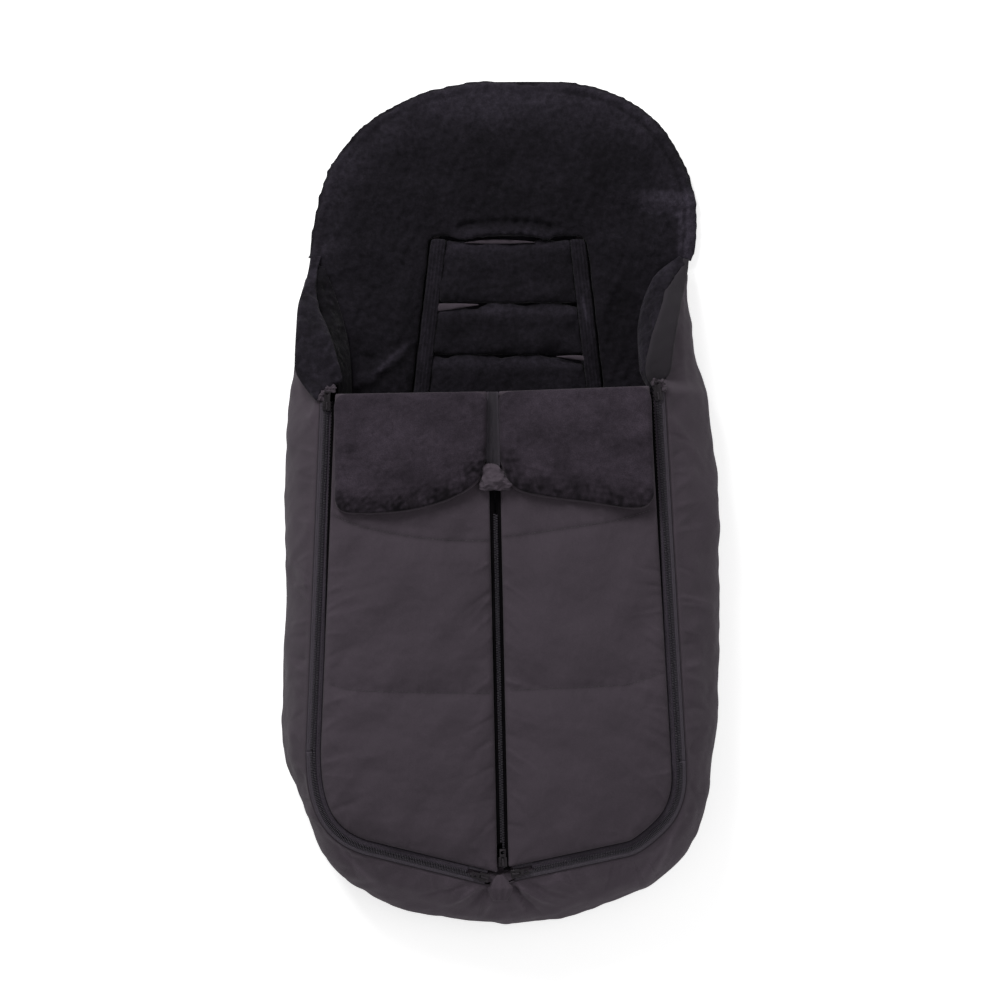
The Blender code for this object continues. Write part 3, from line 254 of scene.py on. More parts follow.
LEFT_ZIP = ZipPath(Side.LEFT, (
    (-0.790, 0.237), (-0.854, -0.588), (-0.840, -0.680), (-0.795, -0.746), (-0.721, -0.789),
    (-0.621, -0.815), (-0.068, -0.886)))
RIGHT_ZIP = ZipPath(Side.RIGHT, (
    (0.712, 0.261), (0.808, -0.611), (0.806, -0.680), (0.767, -0.737), (0.689, -0.782),
    (0.589, -0.818), (0.059, -0.877)))
ZIPS = {Side.LEFT: LEFT_ZIP, Side.RIGHT: RIGHT_ZIP}
CENTRE_LINE = plan(((-0.037, 0.261), (0.009, -0.867)))
FOLD_SHARES = {Side.LEFT: ((-0.055, 0.261), (-0.781, 0.255)),
               Side.RIGHT: ((-0.018, 0.261), (0.703, 0.275))}


@dataclass(frozen=True)
class Channel:
    """A sewn channel: how far down both its ends lie, its bend, its depth and the painted shade
    along it.
    """

    outer: float
    inner: float
    bend: float
    depth: float
    shade: float

    def down(self, out: Array) -> Array:
        """How far down the half the channel lies at shares across it."""
        return self.inner + (self.outer - self.inner) * out ** self.bend


CHANNELS = {Side.LEFT: (Channel(0.248, 0.310, 1.9, 0.0058, 0.24),
                        Channel(0.596, 0.627, 1.1, 0.0040, 0.08)),
            Side.RIGHT: (Channel(0.257, 0.306, 1.1, 0.0058, 0.20),
                         Channel(0.597, 0.628, 1.1, 0.0040, 0.08))}
CUFF_SHARES = {
    Side.LEFT: ((-0.068, 0.083), (-0.092, 0.060), (-0.135, 0.038), (-0.215, 0.012),
                (-0.370, -0.014), (-0.553, -0.026), (-0.753, -0.024)),
    Side.RIGHT: ((-0.004, 0.083), (0.032, 0.052), (0.087, 0.028), (0.201, 0.014),
                 (0.406, 0.000), (0.589, -0.014), (0.697, -0.009)),
}


def across_centre() -> Array:
    """Direction across the centre zip towards +X."""
    return -right_of(unit(CENTRE_LINE[1] - CENTRE_LINE[0]))


# Creases


@dataclass(frozen=True)
class Crease:
    """A raised or sunk crease between two places, in the piece's cloth coordinates."""

    start: tuple[float, float]
    end: tuple[float, float]
    rise: float
    width: float
    fade: Fade = Fade.BOTH_ENDS

    def heights(self, spots: Array) -> Array:
        """How far the crease lifts the cloth at some spots."""
        start = np.array(self.start)
        step = np.array(self.end) - start
        share = np.clip((spots - start) @ step / max(float(step @ step), TINY), 0, 1)
        away = np.linalg.norm(spots - start - share[:, None] * step, axis=1)
        if self.fade is Fade.BOTH_ENDS:
            strength = np.sin(math.pi * share) ** 0.6
        else:
            strength = (1 - share) ** 0.8
        return self.rise * strength * np.exp(-(away / self.width) ** 2)


def creased(spots: Array, creases: list[Crease]) -> Array:
    """The summed lift of several creases."""
    return sum((crease.heights(spots) for crease in creases), np.zeros(len(spots)))


@dataclass(frozen=True)
class Puckers:
    """Small slanting creases that run into the cloth from a seam."""

    spacing: float
    reach: tuple[float, float]
    slant: tuple[float, float]
    rise: float
    width: float
    seed: int
    rises: tuple[float, float] = (0.4, 1.0)
    widths: tuple[float, float] = (0.7, 1.3)
    raised_share: float = 0.6

    def along(self, line: PlanLine, inward: int) -> list[Crease]:
        """The creases along one seam.

        Args:
            line: The seam, in cloth coordinates.
            inward: 1 where the cloth lies to the right of the seam's way, else -1.

        Returns:
            The creases, from the seam into the cloth.
        """
        random = np.random.default_rng(self.seed)
        count = max(1, int(line.length / self.spacing))
        places = (np.arange(count) + random.uniform(0.1, 0.9, count)) * line.length / count
        starts = line.at(places)
        ways = line.at(places + 0.001) - line.at(places - 0.001)
        ways /= np.linalg.norm(ways, axis=1, keepdims=True)
        result = []
        for start, way in zip(starts, ways):
            angle = math.radians(random.uniform(*self.slant))
            heading = right_of(way) * inward * math.cos(angle) + way * math.sin(angle)
            end = start + heading * random.uniform(*self.reach)
            rise = self.rise * random.uniform(*self.rises)
            rise *= 1 if random.random() < self.raised_share else -1
            result.append(Crease(tuple(start), tuple(end), rise,
                                 self.width * random.uniform(*self.widths), Fade.FAR_END))
        return result


@dataclass(frozen=True)
class Waver:
    """Soft uneven waviness, the same each time for one seed."""

    height: float
    length: float
    seed: int
    count: int = 36
    lengths: tuple[float, float] = (0.6, 1.8)

    def heights(self, points: Array) -> Array:
        """The waviness at points of two or three coordinates."""
        random = np.random.default_rng(self.seed)
        total = np.zeros(len(points))
        for _ in range(self.count):
            way = random.normal(size=points.shape[1])
            length = self.length * random.uniform(*self.lengths)
            way *= 2 * math.pi / (length * np.linalg.norm(way))
            total += np.sin(points @ way + random.uniform(0, 2 * math.pi))
        return total * self.height / math.sqrt(self.count / 2)

    def over(self, grid: Array) -> Array:
        """The waviness over a grid of points, in the grid's layout."""
        return self.heights(grid.reshape(-1, grid.shape[-1])).reshape(grid.shape[:-1])


def eased(values: Array, low: float, high: float) -> Array:
    """A smooth step from 0 at low to 1 at high."""
    share = np.clip((values - low) / (high - low), 0, 1)
    return share * share * (3 - 2 * share)


# Finishes


SOCKETS = {"gloss": "Specular IOR Level", "sheen": "Sheen Weight",
           "sheen_roughness": "Sheen Roughness", "metal": "Metallic"}


class NodeBoard:
    """The nodes of one material or world, laid out by short calls."""

    def __init__(self, owner: bpy.types.Material | bpy.types.World) -> None:
        """Starts on the nodes of a material or a world."""
        owner.use_nodes = True
        self.owner = owner
        self.tree = owner.node_tree

    def join(self, node: bpy.types.Node, inputs: dict) -> None:
        """Links sockets to a node's inputs, or sets the inputs' own values."""
        for key, value in inputs.items():
            if isinstance(value, bpy.types.NodeSocket):
                self.tree.links.new(value, node.inputs[key])
            else:
                node.inputs[key].default_value = value

    def node(self, kind: str, inputs: dict | None = None, **settings) -> bpy.types.Node:
        """Adds a node.

        Args:
            kind: The node's type name.
            inputs: A value or a socket for each input, by name or number.
            **settings: Properties of the node.

        Returns:
            The new node.
        """
        item = self.tree.nodes.new(kind)
        for key, value in settings.items():
            setattr(item, key, value)
        self.join(item, inputs or {})
        return item

    def math(self, operation: str, first, second=0.0) -> bpy.types.NodeSocket:
        """The result of a sum on one or two values."""
        return self.node("ShaderNodeMath", {0: first, 1: second}, operation=operation).outputs[0]

    def product(self, first, *others) -> bpy.types.NodeSocket:
        """The product of two or more values."""
        for other in others:
            first = self.math("MULTIPLY", first, other)
        return first

    def scaled(self, value, low: float, high: float, out_low: float, out_high: float):
        """A value spread from one range to another, held at its ends."""
        return self.node("ShaderNodeMapRange",
                         {"Value": value, "From Min": low, "From Max": high, "To Min": out_low,
                          "To Max": out_high}).outputs[0]

    def noise(self, vector, scale: float, detail: float = 2.0, rough: float = 0.5):
        """A noise value at a vector."""
        return self.node("ShaderNodeTexNoise",
                         {"Vector": vector, "Scale": scale, "Detail": detail,
                          "Roughness": rough}).outputs[0]

    def object_place(self) -> bpy.types.NodeSocket:
        """Object coordinates."""
        return self.node("ShaderNodeTexCoord").outputs["Object"]

    def cloth_place(self) -> tuple[bpy.types.NodeSocket, bpy.types.NodeSocket]:
        """Both cloth coordinates kept on the mesh."""
        cloth = self.node("ShaderNodeAttribute", attribute_name="cloth").outputs["Vector"]
        parts = self.node("ShaderNodeSeparateXYZ", {0: cloth}).outputs
        return parts[0], parts[1]

    def tone(self) -> bpy.types.NodeSocket:
        """The tone kept on the mesh."""
        return self.node("ShaderNodeAttribute", attribute_name="tone").outputs["Fac"]

    def edges(self) -> bpy.types.NodeSocket:
        """How sharply the surface bends outwards."""
        return self.node("ShaderNodeNewGeometry").outputs["Pointiness"]

    def scaled_vector(self, vector: tuple, factor) -> bpy.types.NodeSocket:
        """A vector or a colour times a factor."""
        return self.node("ShaderNodeVectorMath", {0: vector, "Scale": factor},
                         operation="SCALE").outputs[0]

    def bump(self, height, distance: float, strength: float, below=None):
        """A bumped normal, on top of another one where there is one."""
        inputs = {"Height": height, "Distance": distance, "Strength": strength}
        if below is not None:
            inputs["Normal"] = below
        return self.node("ShaderNodeBump", inputs).outputs[0]

    def seen_directly(self) -> bpy.types.NodeSocket:
        """One where the camera, a gloss or something clear sees it, and else nought."""
        rays = self.node("ShaderNodeLightPath").outputs
        seen = self.math("MAXIMUM", rays["Is Camera Ray"], rays["Is Glossy Ray"])
        return self.math("MAXIMUM", seen, rays["Is Transmission Ray"])


@dataclass(frozen=True)
class Finish:
    """The looks of one material: its name, its slot and its colour."""

    name: str
    slot: str
    colour: Colour

    def board(self) -> NodeBoard:
        """The board of a new material."""
        return NodeBoard(bpy.data.materials.new(self.name))

    def painted(self, board: NodeBoard, factor, roughness, normal,
                **values: float) -> bpy.types.Material:
        """Joins the nodes to the shader and gives the material back.

        Args:
            board: The board that holds the nodes.
            factor: How light or dark the colour is.
            roughness: The roughness.
            normal: The bumped normal.
            **values: Plain values, by the short names of SOCKETS.

        Returns:
            The material.
        """
        inputs = {"Base Color": board.scaled_vector(self.colour, factor),
                  "Roughness": roughness, "Normal": normal}
        inputs.update({SOCKETS[key]: value for key, value in values.items()})
        board.join(board.tree.nodes["Principled BSDF"], inputs)
        return board.owner

    def make(self) -> bpy.types.Material:
        """Builds the material."""
        raise NotImplementedError


@dataclass(frozen=True)
class WovenFinish(Finish):
    """Plain-woven cloth: over-and-under threads, faint slubs, creases and paler worn edges."""

    thread: float = 0.0008
    roughness: float = 0.9
    crumple: float = 0.0007

    def make(self) -> bpy.types.Material:
        """Builds the material."""
        board = self.board()
        place = board.object_place()
        wander = board.scaled(board.noise(place, 140.0), 0.0, 1.0, -0.6, 0.6)
        turn = math.pi / self.thread
        warp, weft = (board.math("SINE", board.math("ADD", board.product(part, turn), wander))
                      for part in board.cloth_place())
        over = board.math("GREATER_THAN", board.product(warp, weft), 0.0)
        under = board.math("SUBTRACT", 1.0, over)
        threads = board.math("ADD", board.product(board.math("ABSOLUTE", warp), over),
                             board.product(board.math("ABSOLUTE", weft), under))
        slubs = board.noise(place, 420.0)
        factor = board.product(board.scaled(threads, 0.0, 1.0, 0.72, 1.16),
                               board.scaled(board.noise(place, 9.0, 3.0), 0.3, 0.7, 0.94, 1.06),
                               board.scaled(slubs, 0.3, 0.75, 0.93, 1.1),
                               board.scaled(board.edges(), 0.50, 0.58, 1.0, 1.22), board.tone())
        normal = board.bump(threads, 0.00018, 0.45)
        normal = board.bump(board.noise(place, 70.0, 4.0, 0.55), self.crumple, 0.55, normal)
        rough = board.scaled(slubs, 0.3, 0.7, self.roughness - 0.05, self.roughness + 0.05)
        return self.painted(board, factor, rough, normal, sheen=0.04, sheen_roughness=0.5,
                            gloss=0.22)


@dataclass(frozen=True)
class FleeceFinish(Finish):
    """Brushed fleece: matted clumps of pile with light and dark nap."""

    clump: float = 0.0055
    contrast: float = 0.42
    depth: float = 0.0016

    def make(self) -> bpy.types.Material:
        """Builds the material."""
        board = self.board()
        place = board.object_place()
        twist = board.scaled_vector((0.006, 0.008, 0.004), board.noise(place, 30.0))
        bent = board.node("ShaderNodeVectorMath", {0: place, 1: twist}, operation="ADD").outputs[0]
        clumps = board.noise(bent, 1.0 / self.clump, 4.0, 0.62)
        pile = board.noise(place, 900.0, 3.0, 0.7)
        nap = board.noise(place, 22.0, 4.0, 0.6)
        factor = board.product(
            board.scaled(clumps, 0.30, 0.72, 1 - self.contrast, 1 + self.contrast),
            board.scaled(pile, 0.25, 0.8, 0.6, 1.5), board.scaled(nap, 0.3, 0.7, 0.70, 1.30),
            board.tone())
        normal = board.bump(clumps, self.depth, 0.8, board.bump(pile, 0.0005, 0.7))
        return self.painted(board, factor, 1.0, normal, sheen=0.05, sheen_roughness=0.35,
                            gloss=0.12)


@dataclass(frozen=True)
class TapeFinish(Finish):
    """Zip tape: fine herringbone twill with lengthwise cords."""

    rib: float = 0.0011
    cord: float = 0.0013
    gloss: float = 0.25

    def make(self) -> bpy.types.Material:
        """Builds the material."""
        board = self.board()
        along, away = board.cloth_place()
        fold = board.math("PINGPONG", away, self.cord)
        slope = board.math("ADD", along, board.product(fold, 1.2))
        twill = board.math("SINE", board.product(slope, 2 * math.pi / self.rib))
        cords = board.math("ABSOLUTE", board.math("SINE", board.product(away, math.pi / self.cord)))
        grain = board.noise(board.object_place(), 600.0)
        factor = board.product(board.scaled(twill, -1.0, 1.0, 0.86, 1.1),
                               board.scaled(cords, 0.0, 0.5, 0.62, 1.06),
                               board.scaled(grain, 0.3, 0.7, 0.85, 1.15), board.tone())
        normal = board.bump(cords, 0.0003, 0.5, board.bump(twill, 0.00012, 0.5))
        rough = board.scaled(grain, 0.3, 0.7, 0.7, 0.85)
        return self.painted(board, factor, rough, normal, gloss=self.gloss)


@dataclass(frozen=True)
class CoilFinish(Finish):
    """Moulded nylon of the zip's teeth: smooth, with faint wear on the crowns."""

    def make(self) -> bpy.types.Material:
        """Builds the material."""
        board = self.board()
        grain = board.noise(board.object_place(), 900.0)
        factor = board.math("ADD", board.scaled(board.edges(), 0.5, 0.65, 0.85, 1.4),
                            board.scaled(grain, 0.3, 0.7, -0.1, 0.1))
        return self.painted(board, factor, board.scaled(grain, 0.3, 0.7, 0.38, 0.55),
                            board.bump(grain, 0.00008, 0.3))


@dataclass(frozen=True)
class MetalFinish(Finish):
    """Dark lacquered die-cast metal, rubbed paler on its edges."""

    def make(self) -> bpy.types.Material:
        """Builds the material."""
        board = self.board()
        place = board.object_place()
        grain = board.noise(place, 800.0, 3.0)
        factor = board.product(board.scaled(board.edges(), 0.5, 0.62, 0.9, 2.2),
                               board.scaled(grain, 0.3, 0.7, 0.9, 1.1))
        rough = board.scaled(board.noise(place, 250.0, 3.0), 0.3, 0.7, 0.28, 0.45)
        return self.painted(board, factor, rough, board.bump(grain, 0.00004, 0.4), metal=0.85)


@dataclass(frozen=True)
class RubberFinish(Finish):
    """Soft grip rubber printed in rows of small dots."""

    pitch: float = 0.004

    def make(self) -> bpy.types.Material:
        """Builds the material."""
        board = self.board()
        place = board.object_place()
        dots = board.node("ShaderNodeTexVoronoi", {"Vector": place, "Scale": 1 / self.pitch,
                                                   "Randomness": 0.0}).outputs["Distance"]
        raised = board.scaled(dots, 0.25, 0.4, 1.0, 0.0)
        grain = board.noise(place, 500.0)
        factor = board.product(board.scaled(raised, 0.0, 1.0, 0.8, 1.4),
                               board.scaled(grain, 0.3, 0.7, 0.85, 1.15))
        return self.painted(board, factor, board.scaled(grain, 0.3, 0.7, 0.6, 0.8),
                            board.bump(raised, 0.0006, 0.7))


TAPE_COLOUR = (0.0310, 0.0262, 0.0338)
SHELL = WovenFinish("shell_cloth", "shell_fabric", (0.0500, 0.0395, 0.0500))
FACING = WovenFinish("facing_cloth", "facing", (0.0330, 0.0275, 0.0350), thread=0.0006,
                     crumple=0.0004)
FLEECE = FleeceFinish("fleece", "fleece", (0.0108, 0.0092, 0.0128))
CUFF_FLEECE = FleeceFinish("cuff_fleece", "cuff_fleece", (0.0328, 0.0258, 0.0345), clump=0.007,
                           contrast=0.16, depth=0.0008)
TAPE = TapeFinish("zip_tape", "zip_tape", TAPE_COLOUR)
CENTRE_TAPE = TapeFinish("centre_tape", "zip_tape", TAPE_COLOUR, gloss=0.03)
COIL = CoilFinish("zip_coil", "zip_tape", (0.0225, 0.0190, 0.0260))
METAL = MetalFinish("slider_metal", "slider_metal", (0.014, 0.012, 0.014))
RUBBER = RubberFinish("grip_rubber", "grip_rubber", (0.020, 0.020, 0.020))
THREAD = CoilFinish("seam_thread", "shell_fabric", (0.024, 0.019, 0.024))


@functools.cache
def material_of(finish: Finish) -> bpy.types.Material:
    """The material of a finish, made once."""
    return finish.make()


# Soft pieces


class SoftPiece:
    """A soft piece while it is being made."""

    def __init__(self, item: bpy.types.Object) -> None:
        """Takes over an object whose place is in its mesh."""
        self.item = item

    @classmethod
    def from_nodes(cls, name: str, *nodes: str, grow: float = 0.0) -> "SoftPiece":
        """A merged copy of one or more CAD nodes.

        Args:
            name: The piece's name.
            *nodes: The nodes to copy.
            grow: How far each copy swells first, so that neighbours join.

        Returns:
            The new piece.
        """
        work = bmesh.new()
        for node in nodes:
            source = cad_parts[node]
            mesh = source.data.copy()
            mesh.transform(source.matrix_world)
            part = bmesh.new()
            part.from_mesh(mesh)
            bmesh.ops.remove_doubles(part, verts=part.verts, dist=1e-5)
            part.normal_update()
            for vertex in part.verts:
                vertex.co += vertex.normal * grow
            part.to_mesh(mesh)
            part.free()
            work.from_mesh(mesh)
            bpy.data.meshes.remove(mesh)
        return cls.from_work(name, work)

    @classmethod
    def from_mesh(cls, name: str, mesh: bpy.types.Mesh) -> "SoftPiece":
        """A piece around a mesh, linked to the scene."""
        item = bpy.data.objects.new(name, mesh)
        bpy.context.scene.collection.objects.link(item)
        return cls(item)

    @classmethod
    def from_work(cls, name: str, work: bmesh.types.BMesh) -> "SoftPiece":
        """A piece from a bmesh, which is then freed."""
        mesh = bpy.data.meshes.new(name)
        work.to_mesh(mesh)
        work.free()
        return cls.from_mesh(name, mesh)

    @classmethod
    def from_levels(cls, name: str, spots: Array, top: Array | float,
                    bottom: Array | float) -> "SoftPiece":
        """A closed pad over a grid of plan points, between two levels.

        Args:
            name: The piece's name.
            spots: Plan points, rows by columns by two.
            top: The height of the upper points.
            bottom: The height of the lower points.

        Returns:
            The new piece, its faces outwards.
        """
        rows, columns = spots.shape[:2]
        points = np.vstack([
            np.dstack([spots, np.broadcast_to(level, (rows, columns))]).reshape(-1, 3)
            for level in (top, bottom)])
        shift = rows * columns
        faces = []
        for row in range(rows - 1):
            for column in range(columns - 1):
                first = row * columns + column
                four = (first, first + columns, first + columns + 1, first + 1)
                faces.append(four)
                faces.append(tuple(shift + index for index in reversed(four)))
        rim = [*range(columns), *range(2 * columns - 1, shift, columns),
               *range(shift - 2, shift - columns - 1, -1),
               *range((rows - 2) * columns, 0, -columns)]
        for here, after in zip(rim, rim[1:] + rim[:1]):
            faces.append((here, after, shift + after, shift + here))
        mesh = bpy.data.meshes.new(name)
        mesh.from_pydata(points.tolist(), [], faces)
        piece = cls.from_mesh(name, mesh)
        piece.turn_outwards()
        return piece

    def turn_outwards(self) -> None:
        """Points all faces outwards."""
        work = bmesh.new()
        work.from_mesh(self.item.data)
        bmesh.ops.recalc_face_normals(work, faces=work.faces)
        work.to_mesh(self.item.data)
        work.free()

    @staticmethod
    def read(rows: bpy.types.bpy_prop_collection, key: str) -> Array:
        """Three numbers of each row of a mesh's data."""
        flat = np.empty(len(rows) * 3, dtype=np.float32)
        rows.foreach_get(key, flat)
        return flat.reshape(-1, 3).astype(float)

    @property
    def points(self) -> Array:
        """All points of the mesh, one a row."""
        return self.read(self.item.data.vertices, "co")

    @points.setter
    def points(self, values: Array) -> None:
        """Moves all points of the mesh."""
        mesh = self.item.data
        mesh.vertices.foreach_set("co", values.astype(np.float32).ravel())
        mesh.update()

    @property
    def normals(self) -> Array:
        """Outward directions at all points."""
        return self.read(self.item.data.vertex_normals, "vector")

    def upward(self, gain: float = 1.6) -> Array:
        """How much each point faces up, from 0 to 1, full where it still leans a little."""
        return np.clip(self.normals[:, 2] * gain, 0, 1)

    def select(self) -> None:
        """Makes the piece the only selected one."""
        bpy.ops.object.select_all(action="DESELECT")
        self.item.select_set(True)
        bpy.context.view_layer.objects.active = self.item

    def step(self, kind: str, **settings) -> None:
        """Adds a modifier and applies it."""
        change = self.item.modifiers.new(kind.lower(), kind)
        for key, value in settings.items():
            setattr(change, key, value)
        self.select()
        bpy.ops.object.modifier_apply(modifier=change.name)

    def remesh(self, voxel: float) -> None:
        """Gives the piece an even mesh."""
        self.step("REMESH", mode="VOXEL", voxel_size=voxel, adaptivity=0.0)

    def relax(self, rounds: int, strength: float = 0.5) -> None:
        """Evens out the surface and keeps the piece's overall size."""
        low, high = self.points.min(axis=0), self.points.max(axis=0)
        self.step("SMOOTH", factor=strength, iterations=rounds)
        self.fit(low, high)

    def fit(self, low: Array, high: Array) -> None:
        """Stretches the piece evenly so that it fills a box."""
        points = self.points
        start, end = points.min(axis=0), points.max(axis=0)
        self.points = low + (points - start) * (high - low) / (end - start)

    def refine(self, levels: int = 1, simple: bool = False) -> None:
        """Subdivides the mesh."""
        self.step("SUBSURF", levels=levels, render_levels=levels,
                  subdivision_type="SIMPLE" if simple else "CATMULL_CLARK")

    def push(self, heights: Array) -> None:
        """Moves each point along its outward direction."""
        self.points = self.points + self.normals * heights[:, None]

    def lift(self, heights: Array) -> None:
        """Moves each point straight up."""
        self.points = self.points + np.outer(heights, (0, 0, 1))

    def keep_cloth(self, values: Array) -> None:
        """Stores the cloth coordinates that a weave follows."""
        self.keep("cloth", "FLOAT_VECTOR", "vector",
                  np.column_stack([values, np.zeros(len(values))]))

    def keep_tone(self, values: Array | float) -> None:
        """Stores how light or dark the finish is at each point, painted light and shade included.
        """
        self.keep("tone", "FLOAT", "value",
                  np.broadcast_to(values, len(self.item.data.vertices)))

    def keep(self, name: str, kind: str, field_name: str, values: Array) -> None:
        """Stores values for all points on the mesh."""
        data = self.item.data.attributes.new(name, kind, "POINT").data
        data.foreach_set(field_name, values.astype(np.float32).ravel())

    def hand_over(self, finish: Finish, body: str | None, *nodes: str,
                  fill: float | None = None) -> None:
        """Dresses the finished piece and hangs it on its body.

        Args:
            finish: The finish of its whole surface.
            body: The body it rides on, or None for a piece that bends between two.
            *nodes: The CAD nodes that it stands for.
            fill: How full a padded piece is, or None for any other piece; not used.
        """
        mesh = self.item.data
        if "cloth" not in mesh.attributes:
            self.keep_cloth(self.points[:, :2])
        if "tone" not in mesh.attributes:
            self.keep_tone(1.0)
        mesh.materials.clear()
        mesh.materials.append(material_of(finish))
        mesh.shade_smooth()
        if nodes:
            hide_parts(*nodes)
        if body is not None:
            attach(self.item, body)
        LOG.info("%s: %d faces on %s", self.item.name, len(mesh.polygons), body)


def close_tube(work: bmesh.types.BMesh, rings: list) -> None:
    """Joins rings of bmesh points into a tube with closed ends."""
    for lower, upper in zip(rings, rings[1:]):
        for index in range(len(lower)):
            work.faces.new((lower[index - 1], lower[index], upper[index], upper[index - 1]))
    work.faces.new(rings[0][::-1])
    work.faces.new(rings[-1])


def padded_tube(name: str, line: PlanLine, level: float, half_width: float, half_height: float,
                sides: int) -> SoftPiece:
    """A smooth tube with closed ends along a line seen from above.

    Args:
        name: The piece's name.
        line: The tube's middle line.
        level: The height of the middle line.
        half_width: Half the tube's width.
        half_height: Half its height.
        sides: The number of points round it.

    Returns:
        The new piece.
    """
    work = bmesh.new()
    turns = np.linspace(0, 2 * math.pi, sides, endpoint=False)
    rings = [[work.verts.new((*(centre + out * math.cos(turn) * half_width),
                              level + math.sin(turn) * half_height)) for turn in turns]
             for centre, out in zip(line.points, right_of(line.headings()))]
    close_tube(work, rings)
    piece = SoftPiece.from_work(name, work)
    piece.turn_outwards()
    piece.refine()
    return piece


@dataclass(frozen=True)
class Air:
    """How a pad is filled: pressure, the most and the least that a point moves, and stiffness."""

    pressure: float = 4.0
    cap: float = 0.005
    least_rise: float | None = None
    stiffness: float = 8.0


class AirBench:
    """Fills all pads with air in one run of Blender's cloth."""

    def __init__(self, frames: int = 20) -> None:
        """Starts with no pad waiting."""
        self.frames = frames
        self.waiting: list[tuple[SoftPiece, Air]] = []

    def add(self, piece: SoftPiece, air: Air, held: Array | None = None) -> None:
        """Puts a pad on the bench.

        Args:
            piece: The pad.
            air: How it is filled.
            held: How firmly each point is held, from 0 to 1.
        """
        if held is not None:
            group = piece.item.vertex_groups.new(name="held")
            for level in np.unique(np.round(held, 2)):
                if level > 0:
                    spots = np.nonzero(np.round(held, 2) == level)[0]
                    group.add([int(spot) for spot in spots], float(level), "REPLACE")
        self.waiting.append((piece, air))

    def run(self) -> None:
        """Fills the pads, holds their swelling to the cap, and clears the bench."""
        before = [piece.points for piece, _ in self.waiting]
        for piece, air in self.waiting:
            cloth = piece.item.modifiers.new("air", "CLOTH")
            settings = cloth.settings
            settings.quality = 4
            settings.use_pressure = True
            settings.uniform_pressure_force = air.pressure
            settings.effector_weights.gravity = 0
            settings.tension_stiffness = air.stiffness
            settings.compression_stiffness = air.stiffness
            settings.shear_stiffness = air.stiffness / 2
            cloth.collision_settings.use_collision = False
            cloth.point_cache.frame_start = 1
            cloth.point_cache.frame_end = self.frames
            if "held" in piece.item.vertex_groups:
                settings.vertex_group_mass = "held"
        scene = bpy.context.scene
        for number in range(1, self.frames + 1):
            scene.frame_set(number)
        for (piece, air), start in zip(self.waiting, before):
            piece.select()
            bpy.ops.object.modifier_apply(modifier="air")
            piece.item.vertex_groups.clear()
            move = piece.points - start
            size = np.linalg.norm(move, axis=1, keepdims=True)
            move *= np.minimum(1, air.cap / np.maximum(size, TINY))
            if air.least_rise is not None:
                move[:, 2] = np.maximum(move[:, 2], air.least_rise)
            piece.points = start + move
            LOG.info("%s: filled, %.1f mm at most", piece.item.name, float(size.max()) * 1000)
        scene.frame_set(1)
        self.waiting.clear()


BENCH = AirBench()


class Maker:
    """A group of pieces, laid out before the bench runs and dressed after it."""

    def build(self) -> None:
        """Puts the pieces that air fills on the bench."""

    def finish(self) -> None:
        """Shapes and dresses the pieces."""
        raise NotImplementedError


@dataclass(frozen=True)
class StitchRow:
    """A row of short stitches laid on finished cloth."""

    length: float = 0.0028
    gap: float = 0.0010
    thick: float = 0.0007

    def sew(self, name: str, lines: list[PlanLine], cloth: SoftPiece, body: str) -> None:
        """Lays stitches along lines seen from above, on top of a piece.

        Args:
            name: The name of the stitching.
            lines: Where the rows run.
            cloth: The piece that carries them.
            body: The body they ride on.
        """
        mesh = cloth.item.data
        tree = BVHTree.FromPolygons([vert.co for vert in mesh.vertices],
                                    [face.vertices for face in mesh.polygons])
        work = bmesh.new()
        pitch = self.length + self.gap
        for line in lines:
            count = int(line.length / pitch)
            for number in range(count):
                ends = line.at(np.array([number * pitch, number * pitch + self.length]))
                hits = [tree.ray_cast(Vector((*end, 1.0)), Vector((0, 0, -1)))[0] for end in ends]
                if None in hits:
                    continue
                self.add_stitch(work, hits[0], hits[1])
        SoftPiece.from_work(name, work).hand_over(THREAD, body)

    def add_stitch(self, work: bmesh.types.BMesh, start: Vector, end: Vector) -> None:
        """Adds one stitch between two places to a bmesh."""
        way = (end - start).normalized()
        side = way.cross(Vector((0, 0, 1))).normalized() * self.thick / 2
        up = Vector((0, 0, 1)) * self.thick / 2
        turns = [side * math.cos(angle) + up * math.sin(angle)
                 for angle in (0, math.pi / 2, math.pi, 3 * math.pi / 2)]
        rings = []
        for share, size in ((0.0, 0.25), (0.25, 1.0), (0.75, 1.0), (1.0, 0.25)):
            centre = start.lerp(end, share) + up * 0.3
            rings.append([work.verts.new(centre + turn * size) for turn in turns])
        close_tube(work, rings)


# Cover halves


SIDE_EDGE = 0.0078
CENTRE_EDGE = 0.0060


def grid_shares(rows: int, columns: int) -> tuple[Array, Array]:
    """Shares from 0 to 1 down the rows and across the columns of a grid."""
    return np.linspace(0, 1, rows)[:, None], np.linspace(0, 1, columns)[None, :]


def grid_rim(rows: int, columns: int) -> Array:
    """A grid that is 1 on its rim and 0 inside."""
    rim = np.ones((rows, columns))
    rim[1:-1, 1:-1] = 0
    return rim


def held_below(upper: Array) -> Array:
    """How firmly a pad's points are held: the upper ones as given and the lower ones fully."""
    return np.concatenate([upper.ravel(), np.ones(upper.size)])


def patch(inner: Array, outer: Array, top: Array, bottom: Array) -> Array:
    """Plan points filled between four edges.

    Args:
        inner: Points down the inner edge.
        outer: Points down the outer edge, as many.
        top: Points across the top.
        bottom: Points across the bottom, as many.

    Returns:
        A grid of plan points, rows by columns by two.
    """
    down, out = (share[..., None] for share in grid_shares(len(inner), len(top)))
    across = top[None] + (bottom - top)[None] * down
    across = across + inner[:, None] + (outer - inner)[:, None] * out
    upper = top[0] + (top[-1] - top[0]) * out
    lower = bottom[0] + (bottom[-1] - bottom[0]) * out
    return across - (upper + (lower - upper) * down)


